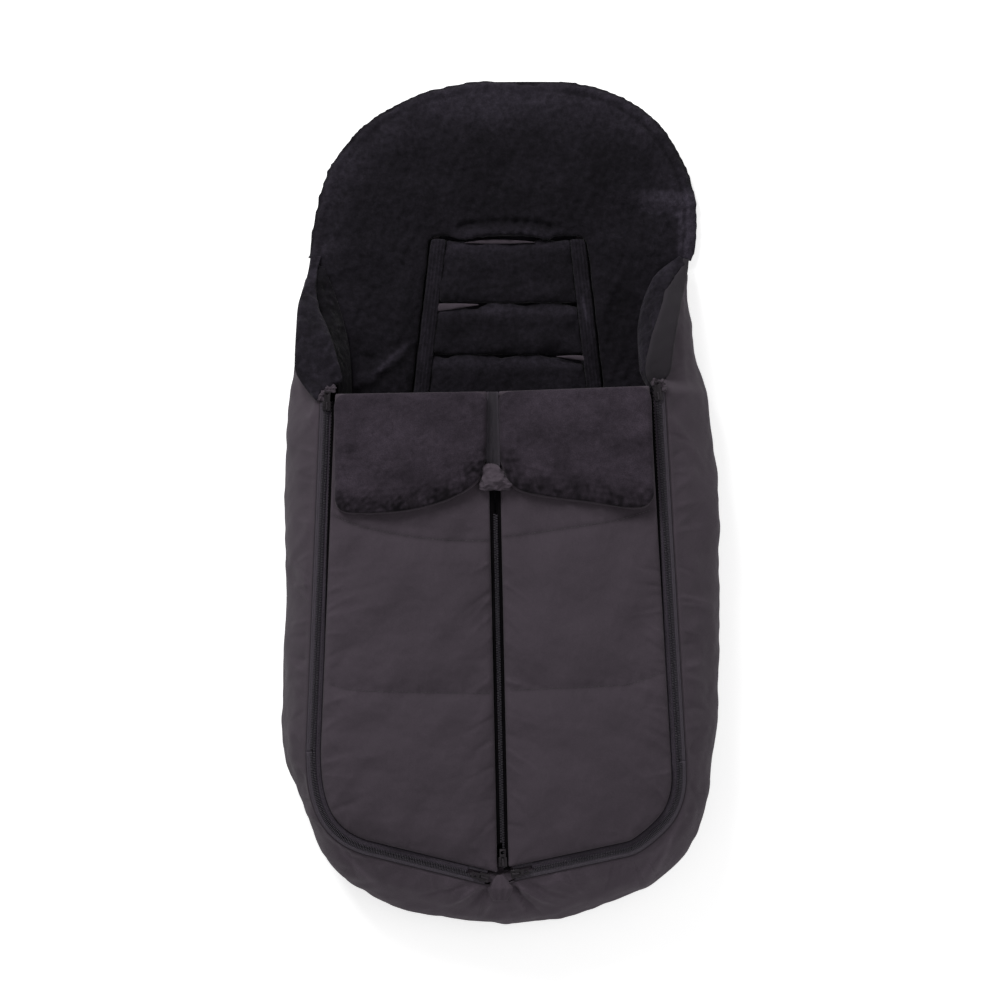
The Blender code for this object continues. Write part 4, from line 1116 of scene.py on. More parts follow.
def dome(share: Array, power: float = 0.4) -> Array:
    """A rounded rise from 0 at both ends to 1 in the middle."""
    return np.maximum(4 * share * (1 - share), 0) ** power


@dataclass
class CoverHalf(Maker):
    """One quilted half of the front cover with the fleece under it."""

    side: Side
    columns: int = 46
    rows: int = 128
    length: float = 0.547
    side_gap: float = 0.0012
    centre_gap: float = 0.0002
    edge: float = 0.0050
    flat: float = 0.0068
    crown: float = 0.0150
    channel_width: float = 0.0075
    cuff_zone: float = 0.146
    cuff_ramp: float = 0.045
    even_share: float = 0.7
    sink: float = 0.0004
    shell: SoftPiece | None = field(default=None, init=False)
    grid: Array | None = field(default=None, init=False)

    @property
    def body(self) -> str:
        """The body that this half rides on."""
        return "cover_" + self.side.label

    @property
    def channels(self) -> tuple:
        """The sewn channels of this half."""
        return CHANNELS[self.side]

    def edges(self, side_reach: float, centre_reach: float) -> tuple:
        """The four edges in plan: centre, side, fold and foot."""
        zip_path = ZIPS[self.side]
        ends = plan(FOLD_SHARES[self.side])
        centre = CENTRE_LINE + across_centre() * centre_reach * self.side.value
        straight = zip_path.aside(PlanLine(zip_path.straight), -side_reach).points
        fold = np.array([crossing(ends, centre), crossing(ends, straight)])
        edge = zip_path.aside(zip_path.whole, -side_reach).points
        edge[0] = fold[1]
        edge[-1] = crossing(edge[-2:], centre)
        turn = 1 + len(zip_path.corner) // 2
        return np.array([fold[0], edge[-1]]), edge[:turn + 1], fold, edge[turn:][::-1]

    def plan_grid(self) -> Array:
        """Plan points of the half, rows from the fold down and columns from the centre out."""
        centre, edge, fold, foot = self.edges(SIDE_EDGE + self.side_gap,
                                              CENTRE_EDGE + self.centre_gap)
        inner_line, outer_line = PlanLine(centre), PlanLine(edge)
        ratio = min(inner_line.length / outer_line.length, 0.9 / self.even_share)
        even = self.even_share
        down = np.linspace(0, 1, self.rows)
        outer = np.where(down <= even, down * ratio,
                         even * ratio + (1 - even * ratio) * (down - even) / (1 - even))
        return patch(inner_line.at(down * inner_line.length),
                     outer_line.at(outer * outer_line.length),
                     *(PlanLine(line).split(self.columns - 1) for line in (fold, foot)))

    def build(self) -> None:
        """Lays out the shell pad and puts it on the bench."""
        self.grid = self.plan_grid()
        down, out = grid_shares(self.rows, self.columns)
        past = np.clip((down * self.length - self.cuff_zone) / self.cuff_ramp, 0, 1)
        full = self.flat + (self.crown - self.flat) * past + 0 * out
        held = grid_rim(self.rows, self.columns)
        for channel in self.channels:
            away = (down - channel.down(out)) * self.length / self.channel_width
            full = full - channel.depth * past * np.exp(-away * away)
            held = np.maximum(held, 0.8 * np.exp(-(away * 2.2) ** 2) * past)
        end = np.clip((1 - down) / 0.10, 0, 1) ** 0.4
        start = np.clip(down / 0.02 + 0.5, 0, 1)
        rise = self.edge + (full - self.edge) * dome(out, 0.34) * end * start
        self.shell = SoftPiece.from_levels(self.body + "_pad", self.grid, ZIP_HEIGHT + rise,
                                           ZIP_HEIGHT - self.sink)
        BENCH.add(self.shell, Air(pressure=4.0, cap=0.0045, least_rise=-0.0005),
                  held_below(held))

    def creases(self) -> list[Crease]:
        """The puckers and drag lines in the cloth of this half."""
        centre, edge, _, foot = self.edges(0.0099, 0.0082)
        sign = self.side.value
        seed = 11 if self.side is Side.LEFT else 23
        long_edge = PlanLine(edge)
        lower = long_edge.part(0.20, long_edge.length, 20)
        centre_run = PlanLine(centre).part(0.19, 0.50, 20)
        found = []
        for line, inward, puckers in (
                (lower, sign, Puckers(0.017, (0.018, 0.050), (-42, 10), 0.0015, 0.0026, seed)),
                (centre_run, -sign,
                 Puckers(0.020, (0.020, 0.055), (10, 50), 0.0014, 0.0027, seed + 1)),
                (PlanLine(foot[::-1]), sign,
                 Puckers(0.026, (0.010, 0.026), (-20, 20), 0.0010, 0.0026, seed + 2)),
                (lower, sign,
                 Puckers(0.040, (0.070, 0.130), (-32, -8), 0.0012, 0.0050, seed + 3))):
            found += puckers.along(line, inward)
        return found

    def dimples(self) -> list[Crease]:
        """The small dents where the sewn channels draw the cloth in."""
        found = []
        for number, channel in enumerate(self.channels):
            random = np.random.default_rng(self.columns + number)
            for share in np.linspace(0.08, 0.92, 11):
                spot = self.channel_point(channel, float(share))
                for way in (-1, 1):
                    reach = random.uniform(0.008, 0.022)
                    lean = random.uniform(-0.006, 0.006)
                    end = spot + np.array([lean, reach * way])
                    found.append(Crease(tuple(spot), tuple(end), -random.uniform(0.0002, 0.0006),
                                        0.0030, Fade.FAR_END))
        return found

    def painted_shading(self, spots: Array, lines: Array) -> Array:
        """Painted light and shade on the cloth: paler on the crests of its creases and darker in
        their hollows, painted shade in the sewn channels and a faint painted highlight just above
        each.
        """
        tone = 1.0 + 42.0 * np.clip(lines, -0.0024, 0.0024)
        for channel in self.channels:
            seam = self.channel_line(channel, 0.03).points
            order = np.argsort(seam[:, 0])
            above = spots[:, 1] - np.interp(spots[:, 0], seam[order, 0], seam[order, 1])
            tone -= channel.shade * np.exp(-(above / 0.0028) ** 2)
            tone += 0.05 * np.exp(-((above - 0.0070) / 0.0040) ** 2)
        return tone

    def channel_line(self, channel: Channel, margin: float) -> PlanLine:
        """The line of a channel, short of both edges of the half by a share of its width."""
        return PlanLine(np.array([self.channel_point(channel, float(out))
                                  for out in np.linspace(margin, 1 - margin, 30)]))

    def channel_point(self, channel: Channel, out: float) -> Array:
        """The plan point of a channel at a share across the half."""
        row = channel.down(out) * (self.rows - 1)
        column = out * (self.columns - 1)
        low_row, low_column = int(row), int(column)
        high_column = min(low_column + 1, self.columns - 1)
        first = self.grid[low_row] * (1 - row + low_row) + self.grid[low_row + 1] * (row - low_row)
        return first[low_column] + (first[high_column] - first[low_column]) * (column - low_column)

    def finish(self) -> None:
        """Refines, creases, stitches and dresses the half."""
        piece = self.shell
        piece.refine()
        upward = piece.upward()
        spots = piece.points[:, :2]
        seed = 31 if self.side is Side.LEFT else 41
        lines = creased(spots, self.creases())
        heights = lines + creased(spots, self.dimples())
        heights += Waver(0.0012, 0.060, seed).heights(spots)
        heights += Waver(0.0002, 0.016, seed + 1).heights(spots)
        piece.lift(heights * upward)
        # Painted light and shade of the creases and channels, kept as the tone.
        piece.keep_tone(self.painted_shading(spots, lines))
        piece.hand_over(SHELL, self.body, self.body + "_shell", fill=0.55)
        rows = [self.channel_line(channel, 0.02) for channel in self.channels]
        StitchRow().sew(self.body + "_stitching", rows, piece, self.body)
        lining = SoftPiece.from_nodes(self.body + "_fleece", self.body + "_lining")
        lining.remesh(0.0045)
        lining.relax(4)
        lining.refine()
        lining.push(Waver(0.0006, 0.012, seed + 2).heights(lining.points)
                    * (lining.normals[:, 2] < 0.3) - 0.0004)
        lining.hand_over(FLEECE, self.body, self.body + "_lining", fill=0.4)


@dataclass
class Cuff(Maker):
    """The folded-down top of one cover half: woven underside and brushed face."""

    side: Side
    columns: int = 56
    rows: int = 44
    low: float = 0.1265
    shell: float = 0.0057
    edge: float = 0.0030
    crown: float = 0.0125
    margin: float = 0.0076
    lip_share: float = 0.014
    lip_rise: float = 0.034
    lip_run: float = 0.14
    fold_gap: float = 0.0004
    layer_gap: float = 0.0003
    corner: float = 0.10
    corner_draw: float = 0.055
    face: SoftPiece | None = field(default=None, init=False)
    under: SoftPiece | None = field(default=None, init=False)

    @property
    def body(self) -> str:
        """The body that this cuff rides on."""
        return "cuff_" + self.side.label

    def plan_grid(self, margin: float) -> Array:
        """Plan points of the cuff, rows from the fold down and columns from the centre out."""
        fold = CoverHalf(self.side).edges(SIDE_EDGE, CENTRE_EDGE)[2]
        lower = plan(CUFF_SHARES[self.side])
        zip_path = ZIPS[self.side]
        edge = zip_path.aside(PlanLine(zip_path.straight), -margin).points
        top = np.array([fold[0], crossing(fold, edge)])
        top = top + unit(lower[0] - top[0]) * self.fold_gap
        ends = (np.array([top[index], lower[index]]) for index in (0, -1))
        return patch(*(PlanLine(end).split(self.rows - 1) for end in ends),
                     *(PlanLine(line).split(self.columns - 1)
                       for line in (top, smooth_curve(lower, 6))))

    def build(self) -> None:
        """Lays out both layers and puts the face on the bench."""
        grid = self.rounded(self.plan_grid(self.margin))
        down, out = grid_shares(self.rows, self.columns)
        level = self.low + self.shell
        base = level + self.layer_gap
        fullness = dome(out, 0.30) * dome(np.clip(down * 0.97 + 0.015, 0, 1), 0.30)
        rise = self.edge + (self.crown - self.edge) * fullness
        self.face = SoftPiece.from_levels(self.body + "_face", grid, base + rise, base)
        BENCH.add(self.face, Air(pressure=4.0, cap=0.0035, least_rise=0.0),
                  held_below(grid_rim(self.rows, self.columns) * 0.6))
        lip = self.lip_share + self.lip_rise * np.exp(-out / self.lip_run)
        longer = grid + (grid[-1:] - grid[:1]) * (lip * down ** 3)[..., None]
        self.under = SoftPiece.from_levels(self.body + "_cloth", longer, level, self.low)

    def rounded(self, grid: Array) -> Array:
        """The plan grid with its four corners drawn in."""
        rows, columns = grid.shape[:2]
        down, out = grid_shares(rows, columns)
        centre = grid.mean(axis=(0, 1))
        away = np.hypot(np.minimum(down, 1 - down) * rows / columns, np.minimum(out, 1 - out))
        near = np.maximum(0, 1 - away / self.corner)
        return grid + (centre - grid) * (near ** 2 * self.corner_draw)[..., None]

    def finish(self) -> None:
        """Shapes and dresses both layers."""
        face = self.face
        face.refine()
        spots = face.points[:, :2]
        fold_y = plan(FOLD_SHARES[self.side])[:, 1].mean()
        lower = PlanLine(smooth_curve(plan(CUFF_SHARES[self.side]), 6))
        away = lower.nearest(spots)[1]
        seed = 51 if self.side is Side.LEFT else 61
        upward = face.upward(1.5)
        rough = 1 - eased(away, 0.004, 0.034)
        heights = Waver(0.0006, 0.035, seed).heights(spots)
        heights += Waver(0.0005, 0.009, seed + 1).heights(spots) * (0.35 + 0.9 * rough)
        face.lift(heights * upward)
        blotches = Waver(0.5, 0.026, seed + 2).heights(spots)
        blotches += Waver(0.45, 0.0085, seed + 3).heights(spots)
        dark = np.clip(rough * (0.75 + 0.45 * blotches), 0, 1)
        depth = 0.74 if self.side is Side.LEFT else 0.68
        tone = 1.0 - depth * dark
        tone *= 1 - 0.16 * np.clip(blotches - 0.35, 0, 1) * eased(fold_y - spots[:, 1], 0.02, 0.06)
        face.keep_tone(tone)
        face.hand_over(CUFF_FLEECE, self.body, self.body + "_lining", fill=0.5)
        under = self.under
        under.refine()
        under.push(Waver(0.0003, 0.02, seed + 4).heights(under.points[:, :2]) - 0.0003)
        under.hand_over(SHELL, self.body, self.body + "_shell", fill=0.4)


# Walls


FOOT_GATHERS = (
    (-0.026, 0.050, -0.030, 0.0030), (-0.016, 0.044, -0.016, -0.0030),
    (-0.008, 0.060, -0.008, 0.0036), (0.000, 0.046, 0.002, -0.0030),
    (0.006, 0.060, 0.012, 0.0034), (0.011, 0.070, 0.030, -0.0044),
    (0.019, 0.052, 0.040, 0.0032), (0.030, 0.045, 0.052, -0.0022),
    (-0.038, 0.040, -0.050, -0.0022))
# Painted highlights along folds at the foot corners of the walls.
CORNER_GLEAMS = [Crease((-0.205, -0.372), (-0.140, -0.446), 0.34, 0.0036),
                 Crease((-0.190, -0.395), (-0.128, -0.452), 0.22, 0.0030),
                 Crease((0.218, -0.330), (0.178, -0.428), 0.34, 0.0034),
                 Crease((0.206, -0.362), (0.150, -0.444), 0.26, 0.0030)]


@dataclass
class BagWall(Maker):
    """The padded wall all round the bag, sewn at the foot corners, with the fleece inside it."""

    voxel: float = 0.0037
    join: float = 0.0003
    seed: int = 81
    piece: SoftPiece | None = field(default=None, init=False)
    shells: tuple = ("side_wall_left_shell", "foot_wall_shell", "side_wall_right_shell")
    linings: tuple = ("side_wall_left_lining", "foot_wall_lining", "side_wall_right_lining")

    def seam(self) -> PlanLine:
        """The top seam from the left wing's tip round the foot to the right wing's tip."""
        left, right = wall_seam(Side.LEFT).points, wall_seam(Side.RIGHT).points
        return PlanLine(np.vstack([left[:-1], foot_seam().points, right[:-1][::-1]]))

    def build(self) -> None:
        """Joins copies of the walls, evens their mesh and puts it on the bench."""
        self.piece = SoftPiece.from_nodes("bag_wall_pad", *self.shells, grow=self.join)
        self.piece.remesh(self.voxel)
        self.piece.relax(9)
        spots = self.piece.points
        self.piece.relax(40)
        free = eased(spots[:, 2], 0.010, 0.030) * (1 - eased(spots[:, 2], 0.092, 0.108))
        free *= 1 - eased(spots[:, 1], 0.090, 0.130)
        spots = spots + (self.piece.points - spots) * free[:, None]
        self.piece.points = spots
        held = np.maximum(eased(spots[:, 2], 0.110, 0.116), 1 - eased(spots[:, 2], 0.006, 0.014))
        held = np.maximum(held, eased(spots[:, 1], 0.105, 0.130))
        BENCH.add(self.piece, Air(pressure=3.5, cap=0.0025), held)

    def cloth_places(self, points: Array) -> Array:
        """Cloth coordinates on the wall: along the seam and down from it."""
        along, away = self.seam().nearest(points[:, :2])
        return np.column_stack([along, ZIP_HEIGHT - points[:, 2] + 0.35 * away])

    def creases(self) -> list[Crease]:
        """Drag lines down the walls and gathers at the foot's middle."""
        seam = self.seam()
        line = PlanLine(np.array([[0.0, 0.004], [seam.length, 0.004]]))
        found = Puckers(0.020, (0.022, 0.055), (-42, 42), 0.0019, 0.0034, 71).along(line, -1)
        found += Puckers(0.055, (0.070, 0.120), (-50, 50), 0.0020, 0.0075, 72).along(line, -1)
        middle = float(seam.nearest(plan(((0.0, -0.907),)))[0][0])
        for offset, reach, lean, rise in FOOT_GATHERS:
            found.append(Crease((middle + offset, 0.0035), (middle + offset + lean, reach),
                                1.35 * rise, 0.0034, Fade.FAR_END))
        return found

    def finish(self) -> None:
        """Creases and dresses the wall and its lining."""
        piece = self.piece
        piece.refine()
        places = self.cloth_places(piece.points)
        lines = creased(places, self.creases())
        heights = lines + Waver(0.0009, 0.060, self.seed).heights(piece.points)
        heights += Waver(0.0003, 0.020, self.seed + 1).heights(piece.points)
        heights *= 0.25 + 0.75 * eased(places[:, 1], 0.003, 0.012)
        piece.push(heights * eased(piece.points[:, 2], 0.002, 0.015))
        points = piece.points
        wing = eased(points[:, 1], 0.124, 0.142)
        points[:, 2] -= 0.0060 * wing * eased(points[:, 2], 0.015, 0.035)
        piece.points = points
        piece.keep_cloth(places)
        # Painted light and shade: paler on the crests of the creases and darker in their hollows,
        # with painted highlights along the corner folds. The wall is also paler towards the foot
        # and towards the right side.
        foot = eased(-points[:, 1], 0.340, 0.430)
        right = eased(points[:, 0], 0.180, 0.215)
        tone = 1.0 + 0.42 * foot + 0.12 * right * (1 - foot) + 24.0 * np.clip(lines, -0.003, 0.003)
        piece.keep_tone(tone + creased(points[:, :2], CORNER_GLEAMS))
        piece.hand_over(SHELL, "base", *self.shells, fill=0.5)
        lining = SoftPiece.from_nodes("bag_wall_fleece", *self.linings)
        lining.refine(3, simple=True)
        lining.relax(6, 0.4)
        lining.push(Waver(0.0004, 0.012, self.seed + 2).heights(lining.points) - 0.0002)
        lining.hand_over(FLEECE, "base", *self.linings, fill=0.2)


# Back, hood and rim


@dataclass
class BackAndHood(Maker):
    """The fleece pad of the back and the hood in one piece, the cloth under it and its rim."""

    voxel: float = 0.0045
    rim_groove: float = 0.0018
    bend_start: float = 0.3075
    bend_end: float = 0.3400
    layers: tuple = ("back_wadding", "back_lining", "hood_wadding", "hood_lining", "hood_binding",
                     "neck_binding_left", "neck_binding_right")
    fleece: SoftPiece | None = field(default=None, init=False)
    box: tuple | None = field(default=None, init=False)

    def build(self) -> None:
        """Copies the layers into one pad and puts it on the bench."""
        self.fleece = SoftPiece.from_nodes("back_and_hood_fleece", *self.layers)
        self.box = (self.fleece.points.min(axis=0), self.fleece.points.max(axis=0))
        self.fleece.remesh(self.voxel)
        self.fleece.relax(8)
        spots = self.fleece.points
        held = 1 - eased(spots[:, 2], 0.006, 0.011)
        window = self.window_edge(spots)
        BENCH.add(self.fleece, Air(pressure=3.5, cap=0.0030), np.maximum(held, window))

    def window_edge(self, points: Array) -> Array:
        """How close some points are to the harness and crotch windows, from 0 to 1."""
        half = Harness.half_width(points[:, 1]) + Harness.strip_width
        across = np.abs(points[:, 0] - Harness.centre) - half
        down = np.maximum(Harness.bottom - points[:, 1], points[:, 1] - Harness.top)
        harness = np.maximum(across, down)
        crotch = np.maximum(np.abs(points[:, 0] + 0.002) - 0.045,
                            np.maximum(-0.118 - points[:, 1], points[:, 1] + 0.062))
        return 1 - eased(np.minimum(harness, crotch), 0.002, 0.012)

    def creases(self) -> list[Crease]:
        """The folds that the photograph shows in the fleece."""
        folds = [
            Crease((-0.174, 0.131), (-0.104, 0.176), 0.0042, 0.0075),
            Crease((-0.098, 0.183), (-0.082, 0.150), -0.0022, 0.0060),
            Crease((-0.205, 0.270), (-0.150, 0.170), 0.0022, 0.0160),
            Crease((0.150, 0.262), (0.120, 0.180), -0.0020, 0.0120),
            Crease((0.150, 0.352), (0.226, 0.341), 0.0026, 0.0070),
            Crease((0.130, 0.338), (0.222, 0.326), -0.0012, 0.0060),
            Crease((-0.225, 0.262), (-0.140, 0.276), 0.0013, 0.0055),
            Crease((-0.215, 0.286), (-0.120, 0.291), 0.0011, 0.0060),
            Crease((-0.222, 0.300), (-0.150, 0.312), -0.0010, 0.0070),
            Crease((0.120, 0.300), (0.205, 0.283), 0.0010, 0.0060),
            Crease((0.118, 0.262), (0.190, 0.228), 0.0012, 0.0065),
            Crease((-0.060, 0.345), (0.060, 0.352), -0.0010, 0.0160),
        ]
        arch = smooth_curve(np.array([[-0.054, 0.3045], [-0.032, 0.3100], [0.006, 0.3130],
                                      [0.042, 0.3105], [0.064, 0.3045]]), 3)
        for start, end in zip(arch, arch[1:]):
            folds.append(Crease(tuple(start), tuple(end), 0.0050, 0.0042, Fade.FAR_END))
        for start, end in zip(arch[1:-1], arch[2:]):
            lift = np.array([0, 0.0105])
            folds.append(Crease(tuple(start + lift), tuple(end + lift), -0.0034, 0.0036,
                                Fade.FAR_END))
        return folds

    def finish(self) -> None:
        """Shapes and dresses the pad, the sheets and the neck band."""
        piece = self.fleece
        piece.refine()
        low, high = self.box
        piece.fit(np.array([*low[:2], piece.points[:, 2].min()]),
                  np.array([*high[:2], piece.points[:, 2].max()]))
        points = piece.points
        spots = points[:, :2]
        upward = piece.upward(1.5)
        calm = 1 - self.window_edge(points)
        away = PlanLine(hood_outline()).nearest(spots)[1]
        hooded = eased(points[:, 1], 0.262, 0.285)
        heights = creased(spots, self.creases()) * upward * 1.5
        heights += Waver(0.0012, 0.075, 101).heights(spots) * calm * upward
        heights += Waver(0.0006, 0.011, 102).heights(points) * calm * upward
        groove = np.exp(-((away - 0.0112) / 0.0024) ** 2) * hooded * upward
        groove *= 0.35 + 0.65 * eased(spots[:, 0], 0.02, 0.12)
        heights -= self.rim_groove * groove
        heights += 0.0012 * np.exp(-((away - 0.0060) / 0.0035) ** 2) * hooded * upward
        piece.push(heights)
        # Painted sheen on the rolled rim: paler near the hood's outline. Also paler towards the top
        # of the hood away from its left side, and a little darker towards the bottom.
        edge = (1 - eased(away, 0.004, 0.062)) * hooded
        top = eased(points[:, 1], 0.400, 0.475)
        tone = 0.76 + 0.60 * edge + 0.45 * top * eased(points[:, 0], -0.14, -0.02)
        tone *= 1 - 0.06 * (1 - eased(points[:, 1], 0.20, 0.34))
        # Painted light and shade on the folds: paler on their crests and darker in their hollows.
        tone += 90.0 * np.clip(creased(spots, self.creases()), -0.003, 0.006)
        # Painted shade in the rim groove; the outermost few millimetres of the hood are darker too.
        tone *= 1 - 0.40 * groove
        tone *= 1 - 0.45 * (1 - eased(away, 0.0, 0.0035)) * hooded
        tone += self.bare_cloth(spots)
        # A painted highlight with a painted shade beside it along the diagonal fold at the left.
        tone += creased(spots, [Crease((-0.156, 0.136), (-0.104, 0.187), 1.0, 0.0034),
                                Crease((-0.148, 0.132), (-0.098, 0.181), -0.34, 0.0045)])
        piece.keep_tone(tone)
        piece.hand_over(FLEECE, None, *self.layers, fill=0.45)
        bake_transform(piece.item)
        for name, node, body in (("back_sheet", "back_shell", "base"),
                                 ("hood_sheet", "hood_shell", "hood"),
                                 ("hood_pocket", "seat_pocket", "hood")):
            sheet = SoftPiece.from_nodes(name, node)
            sheet.hand_over(SHELL, body, node)
            declare_sheet(sheet)

    def bare_cloth(self, spots: Array) -> Array:
        """How much paler the worn edge is beside the right of the neck."""
        ragged = Waver(0.0016, 0.010, 104).heights(spots)
        across = spots[:, 0] + ragged
        along = spots[:, 1] + ragged
        band = eased(across, 0.2000, 0.2070) * eased(along, 0.262, 0.274)
        band *= 1 - eased(along, 0.350, 0.366)
        wedge = eased(across, 0.150, 0.175) * eased(along, 0.330, 0.336)
        wedge *= 1 - eased(along, 0.354, 0.361)
        return 1.9 * np.maximum(band, 0.62 * wedge)


HOOD_RIM_SHARES = (
    (-0.885, 0.545), (-0.872, 0.597), (-0.831, 0.709), (-0.758, 0.810), (-0.598, 0.905),
    (-0.306, 0.981), (0.087, 1.000), (0.429, 0.986), (0.680, 0.917), (0.836, 0.799),
    (0.877, 0.727), (0.890, 0.668), (0.884, 0.609), (0.860, 0.555))


def hood_outline() -> Array:
    """The outer edge of the hood from the left side of the neck round to the right."""
    return smooth_curve(plan(HOOD_RIM_SHARES), 4)


def declare_sheet(piece: SoftPiece) -> None:
    """Works out the size of a sheet's own surface, and does nothing more with it.

    Args:
        piece: The finished sheet.
    """
    size = np.sort(np.ptp(piece.points, axis=0))[::-1]


# Harness panel


@dataclass
class Flap:
    """One padded flap between two belt slots."""

    name: str
    low: float
    high: float
    lip: float
    seed: int
    gaps: tuple = ()
    piece: SoftPiece | None = field(default=None, init=False)

    def build(self) -> None:
        """Copies the flap and puts it on the bench."""
        self.piece = SoftPiece.from_nodes(self.name + "_pad", self.name)
        self.piece.remesh(0.0036)
        self.piece.relax(3)
        held = 1 - eased(self.piece.points[:, 2], 0.008, 0.013)
        BENCH.add(self.piece, Air(pressure=3.0, cap=0.0018), held)

    def finish(self) -> None:
        """Draws out the upper lip, creases and dresses the flap."""
        piece = self.piece
        piece.refine()
        points = piece.points
        near = eased(points[:, 1], self.high - 0.010, self.high - 0.001)
        droop = np.full(len(points), 0.93)
        for start, end, share in self.gaps:
            middle, half = (start + end) / 2, (end - start) / 2
            droop -= share * np.exp(-(((points[:, 0] - middle) / half) ** 4))
        droop += Waver(0.16, 0.045, self.seed + 3).heights(points[:, :1])
        points[:, 1] += self.lip * near * np.clip(droop, 0, 1.08)
        points[:, 2] -= 0.0022 * near * (points[:, 2] > 0.012)
        piece.points = points
        upward = piece.upward(1.4)
        spots = points[:, :2]
        heights = Waver(0.0009, 0.040, self.seed).heights(spots) * upward
        heights += Waver(0.0004, 0.010, self.seed + 1).heights(points) * 0.7
        low_x, high_x = points[:, 0].min(), points[:, 0].max()
        line = PlanLine(np.array([[low_x, self.high], [high_x, self.high]]))
        heights += creased(spots, Puckers(0.022, (0.010, 0.026), (-25, 25), 0.0009, 0.0035,
                                          self.seed + 2).along(line, 1)) * upward
        piece.push(heights)
        # Painted highlight along the upper lip, on the faces that look up.
        edge = np.exp(-((points[:, 1] - self.high) / 0.006) ** 2) * upward
        piece.keep_tone(0.80 + 0.55 * edge)
        piece.hand_over(FLEECE, self.name, self.name, fill=0.45)


@dataclass
class Harness(Maker):
    """The harness panel of the back: ribbed strips, flaps and the facings of the slots."""

    centre: float = 0.008
    top: float = 0.303
    bottom: float = 0.040
    half_top: float = 0.072
    half_bottom: float = 0.1016
    strip_width: float = 0.0166
    lip: float = 0.0086
    shares: tuple = ((0.722, 0.973), (0.494, 0.688), (0.255, 0.460), (0.008, 0.221))
    patch_height: float = 0.0178
    welt_height: float = 0.0046
    flange: float = 0.0026
    rib: float = 0.0040
    patches: tuple = (
        (((-0.0420, 0.2985), (-0.0200, 0.2978), (0.0100, 0.2978), (0.0390, 0.2990)),
         ((-0.0420, 0.2995), (-0.0200, 0.3022), (0.0100, 0.3024), (0.0390, 0.3000))),
        (((-0.0775, 0.2195), (-0.0620, 0.2212), (-0.0450, 0.2238), (-0.0260, 0.2268)),
         ((-0.0765, 0.2288), (-0.0620, 0.2292), (-0.0450, 0.2290), (-0.0260, 0.2280))),
        (((0.0640, 0.1672), (0.0800, 0.1646), (0.0930, 0.1630), (0.1020, 0.1622)),
         ((0.0640, 0.1682), (0.0800, 0.1692), (0.0930, 0.1690), (0.1030, 0.1672))))
    flaps: list[Flap] = field(default_factory=list, init=False)

    @classmethod
    def half_width(cls, level: Array) -> Array:
        """Half the width between the strips at a level of Y."""
        narrowing = (cls.half_top - cls.half_bottom) * (level - cls.bottom)
        return cls.half_bottom + narrowing / (cls.top - cls.bottom)

    def build(self) -> None:
        """Starts the flaps."""
        span = self.top - self.bottom
        gaps = (((-0.042, 0.040, 0.50),), ((-0.088, -0.028, 0.90),), ((0.066, 0.116, 0.80),), ())
        for number, ((low, high), spaces) in enumerate(zip(self.shares, gaps), 1):
            reach = self.lip * (0.75 if number == 1 else 1.0)
            flap = Flap("harness_flap_%d" % number, self.bottom + span * low,
                        self.bottom + span * high, reach, 120 + number * 5, spaces)
            self.flaps.append(flap)
        self.flaps.append(Flap("crotch_flap", -0.1177, -0.070, self.lip * 0.8, 150))
        for flap in self.flaps:
            flap.build()

    def finish(self) -> None:
        """Finishes the flaps and adds the strips and the slot facings."""
        for flap in self.flaps:
            flap.finish()
        for side in Side:
            self.strip(side)
        for number, flap in enumerate(self.flaps[:4], 1):
            self.welt("slot_welt_%d" % number, flap.high, self.half_width(flap.high) + 0.006,
                      self.centre)
        self.welt("harness_hinge_welt", 0.0360, self.half_width(0.040) + 0.006, self.centre)
        self.welt("crotch_slot_welt", -0.070, 0.0470, -0.002)
        self.welt("crotch_hinge_welt", -0.1220, 0.0470, -0.002)
        for number, (low, high) in enumerate(self.patches, 1):
            self.patch_of_cloth("slot_patch_%d" % number, plan_line(low), plan_line(high))

    def strip(self, side: Side) -> None:
        """A ribbed strip beside the flaps."""
        node = "harness_strip_" + side.label
        piece = SoftPiece.from_nodes(node + "_ribbed", node)
        piece.remesh(0.0022)
        piece.relax(2)
        piece.refine()
        points = piece.points
        inner = self.centre + side.value * self.half_width(points[:, 1])
        across = (points[:, 0] - inner) * side.value
        spread = self.flange * np.sign(across - 0.008) * (1 - eased(points[:, 2], 0.006, 0.012))
        points[:, 0] += spread * side.value
        piece.points = points
        upward = piece.upward(1.4)
        ribs = np.cos(across / self.rib * 2 * math.pi)
        heights = (0.00045 * ribs - 0.0002) * upward
        heights += Waver(0.0006, 0.030, 131 + side.value).heights(points) * upward
        heights += 0.0006 * np.abs(1 - upward)
        piece.push(heights)
        piece.keep_cloth(np.column_stack([points[:, 1], across]))
        # Painted light and shade following the ribs, paler on their crests where the faces look up,
        # with random blotches.
        tone = 0.98 + 0.22 * ribs * upward + Waver(0.10, 0.030, 134).heights(points)
        # A painted highlight along a fold on the right strip.
        tone += 1.5 * Crease((0.0925, 0.2404), (0.1000, 0.2059), 1.0, 0.0018).heights(
            points[:, :2])
        piece.keep_tone(tone)
        piece.hand_over(FLEECE, "base", node, fill=0.4)

    def welt(self, name: str, level: float, half: float, centre: float) -> None:
        """The fleece that closes one slot from behind."""
        spots = np.dstack(np.meshgrid(np.linspace(-half, half, 40) + centre,
                                      np.linspace(-0.0060, 0.0140, 7) + level))
        piece = SoftPiece.from_levels(name, spots, self.welt_height + CLOTH, self.welt_height)
        piece.keep_tone(0.9)
        piece.hand_over(FLEECE, "base")
        declare_sheet(piece)

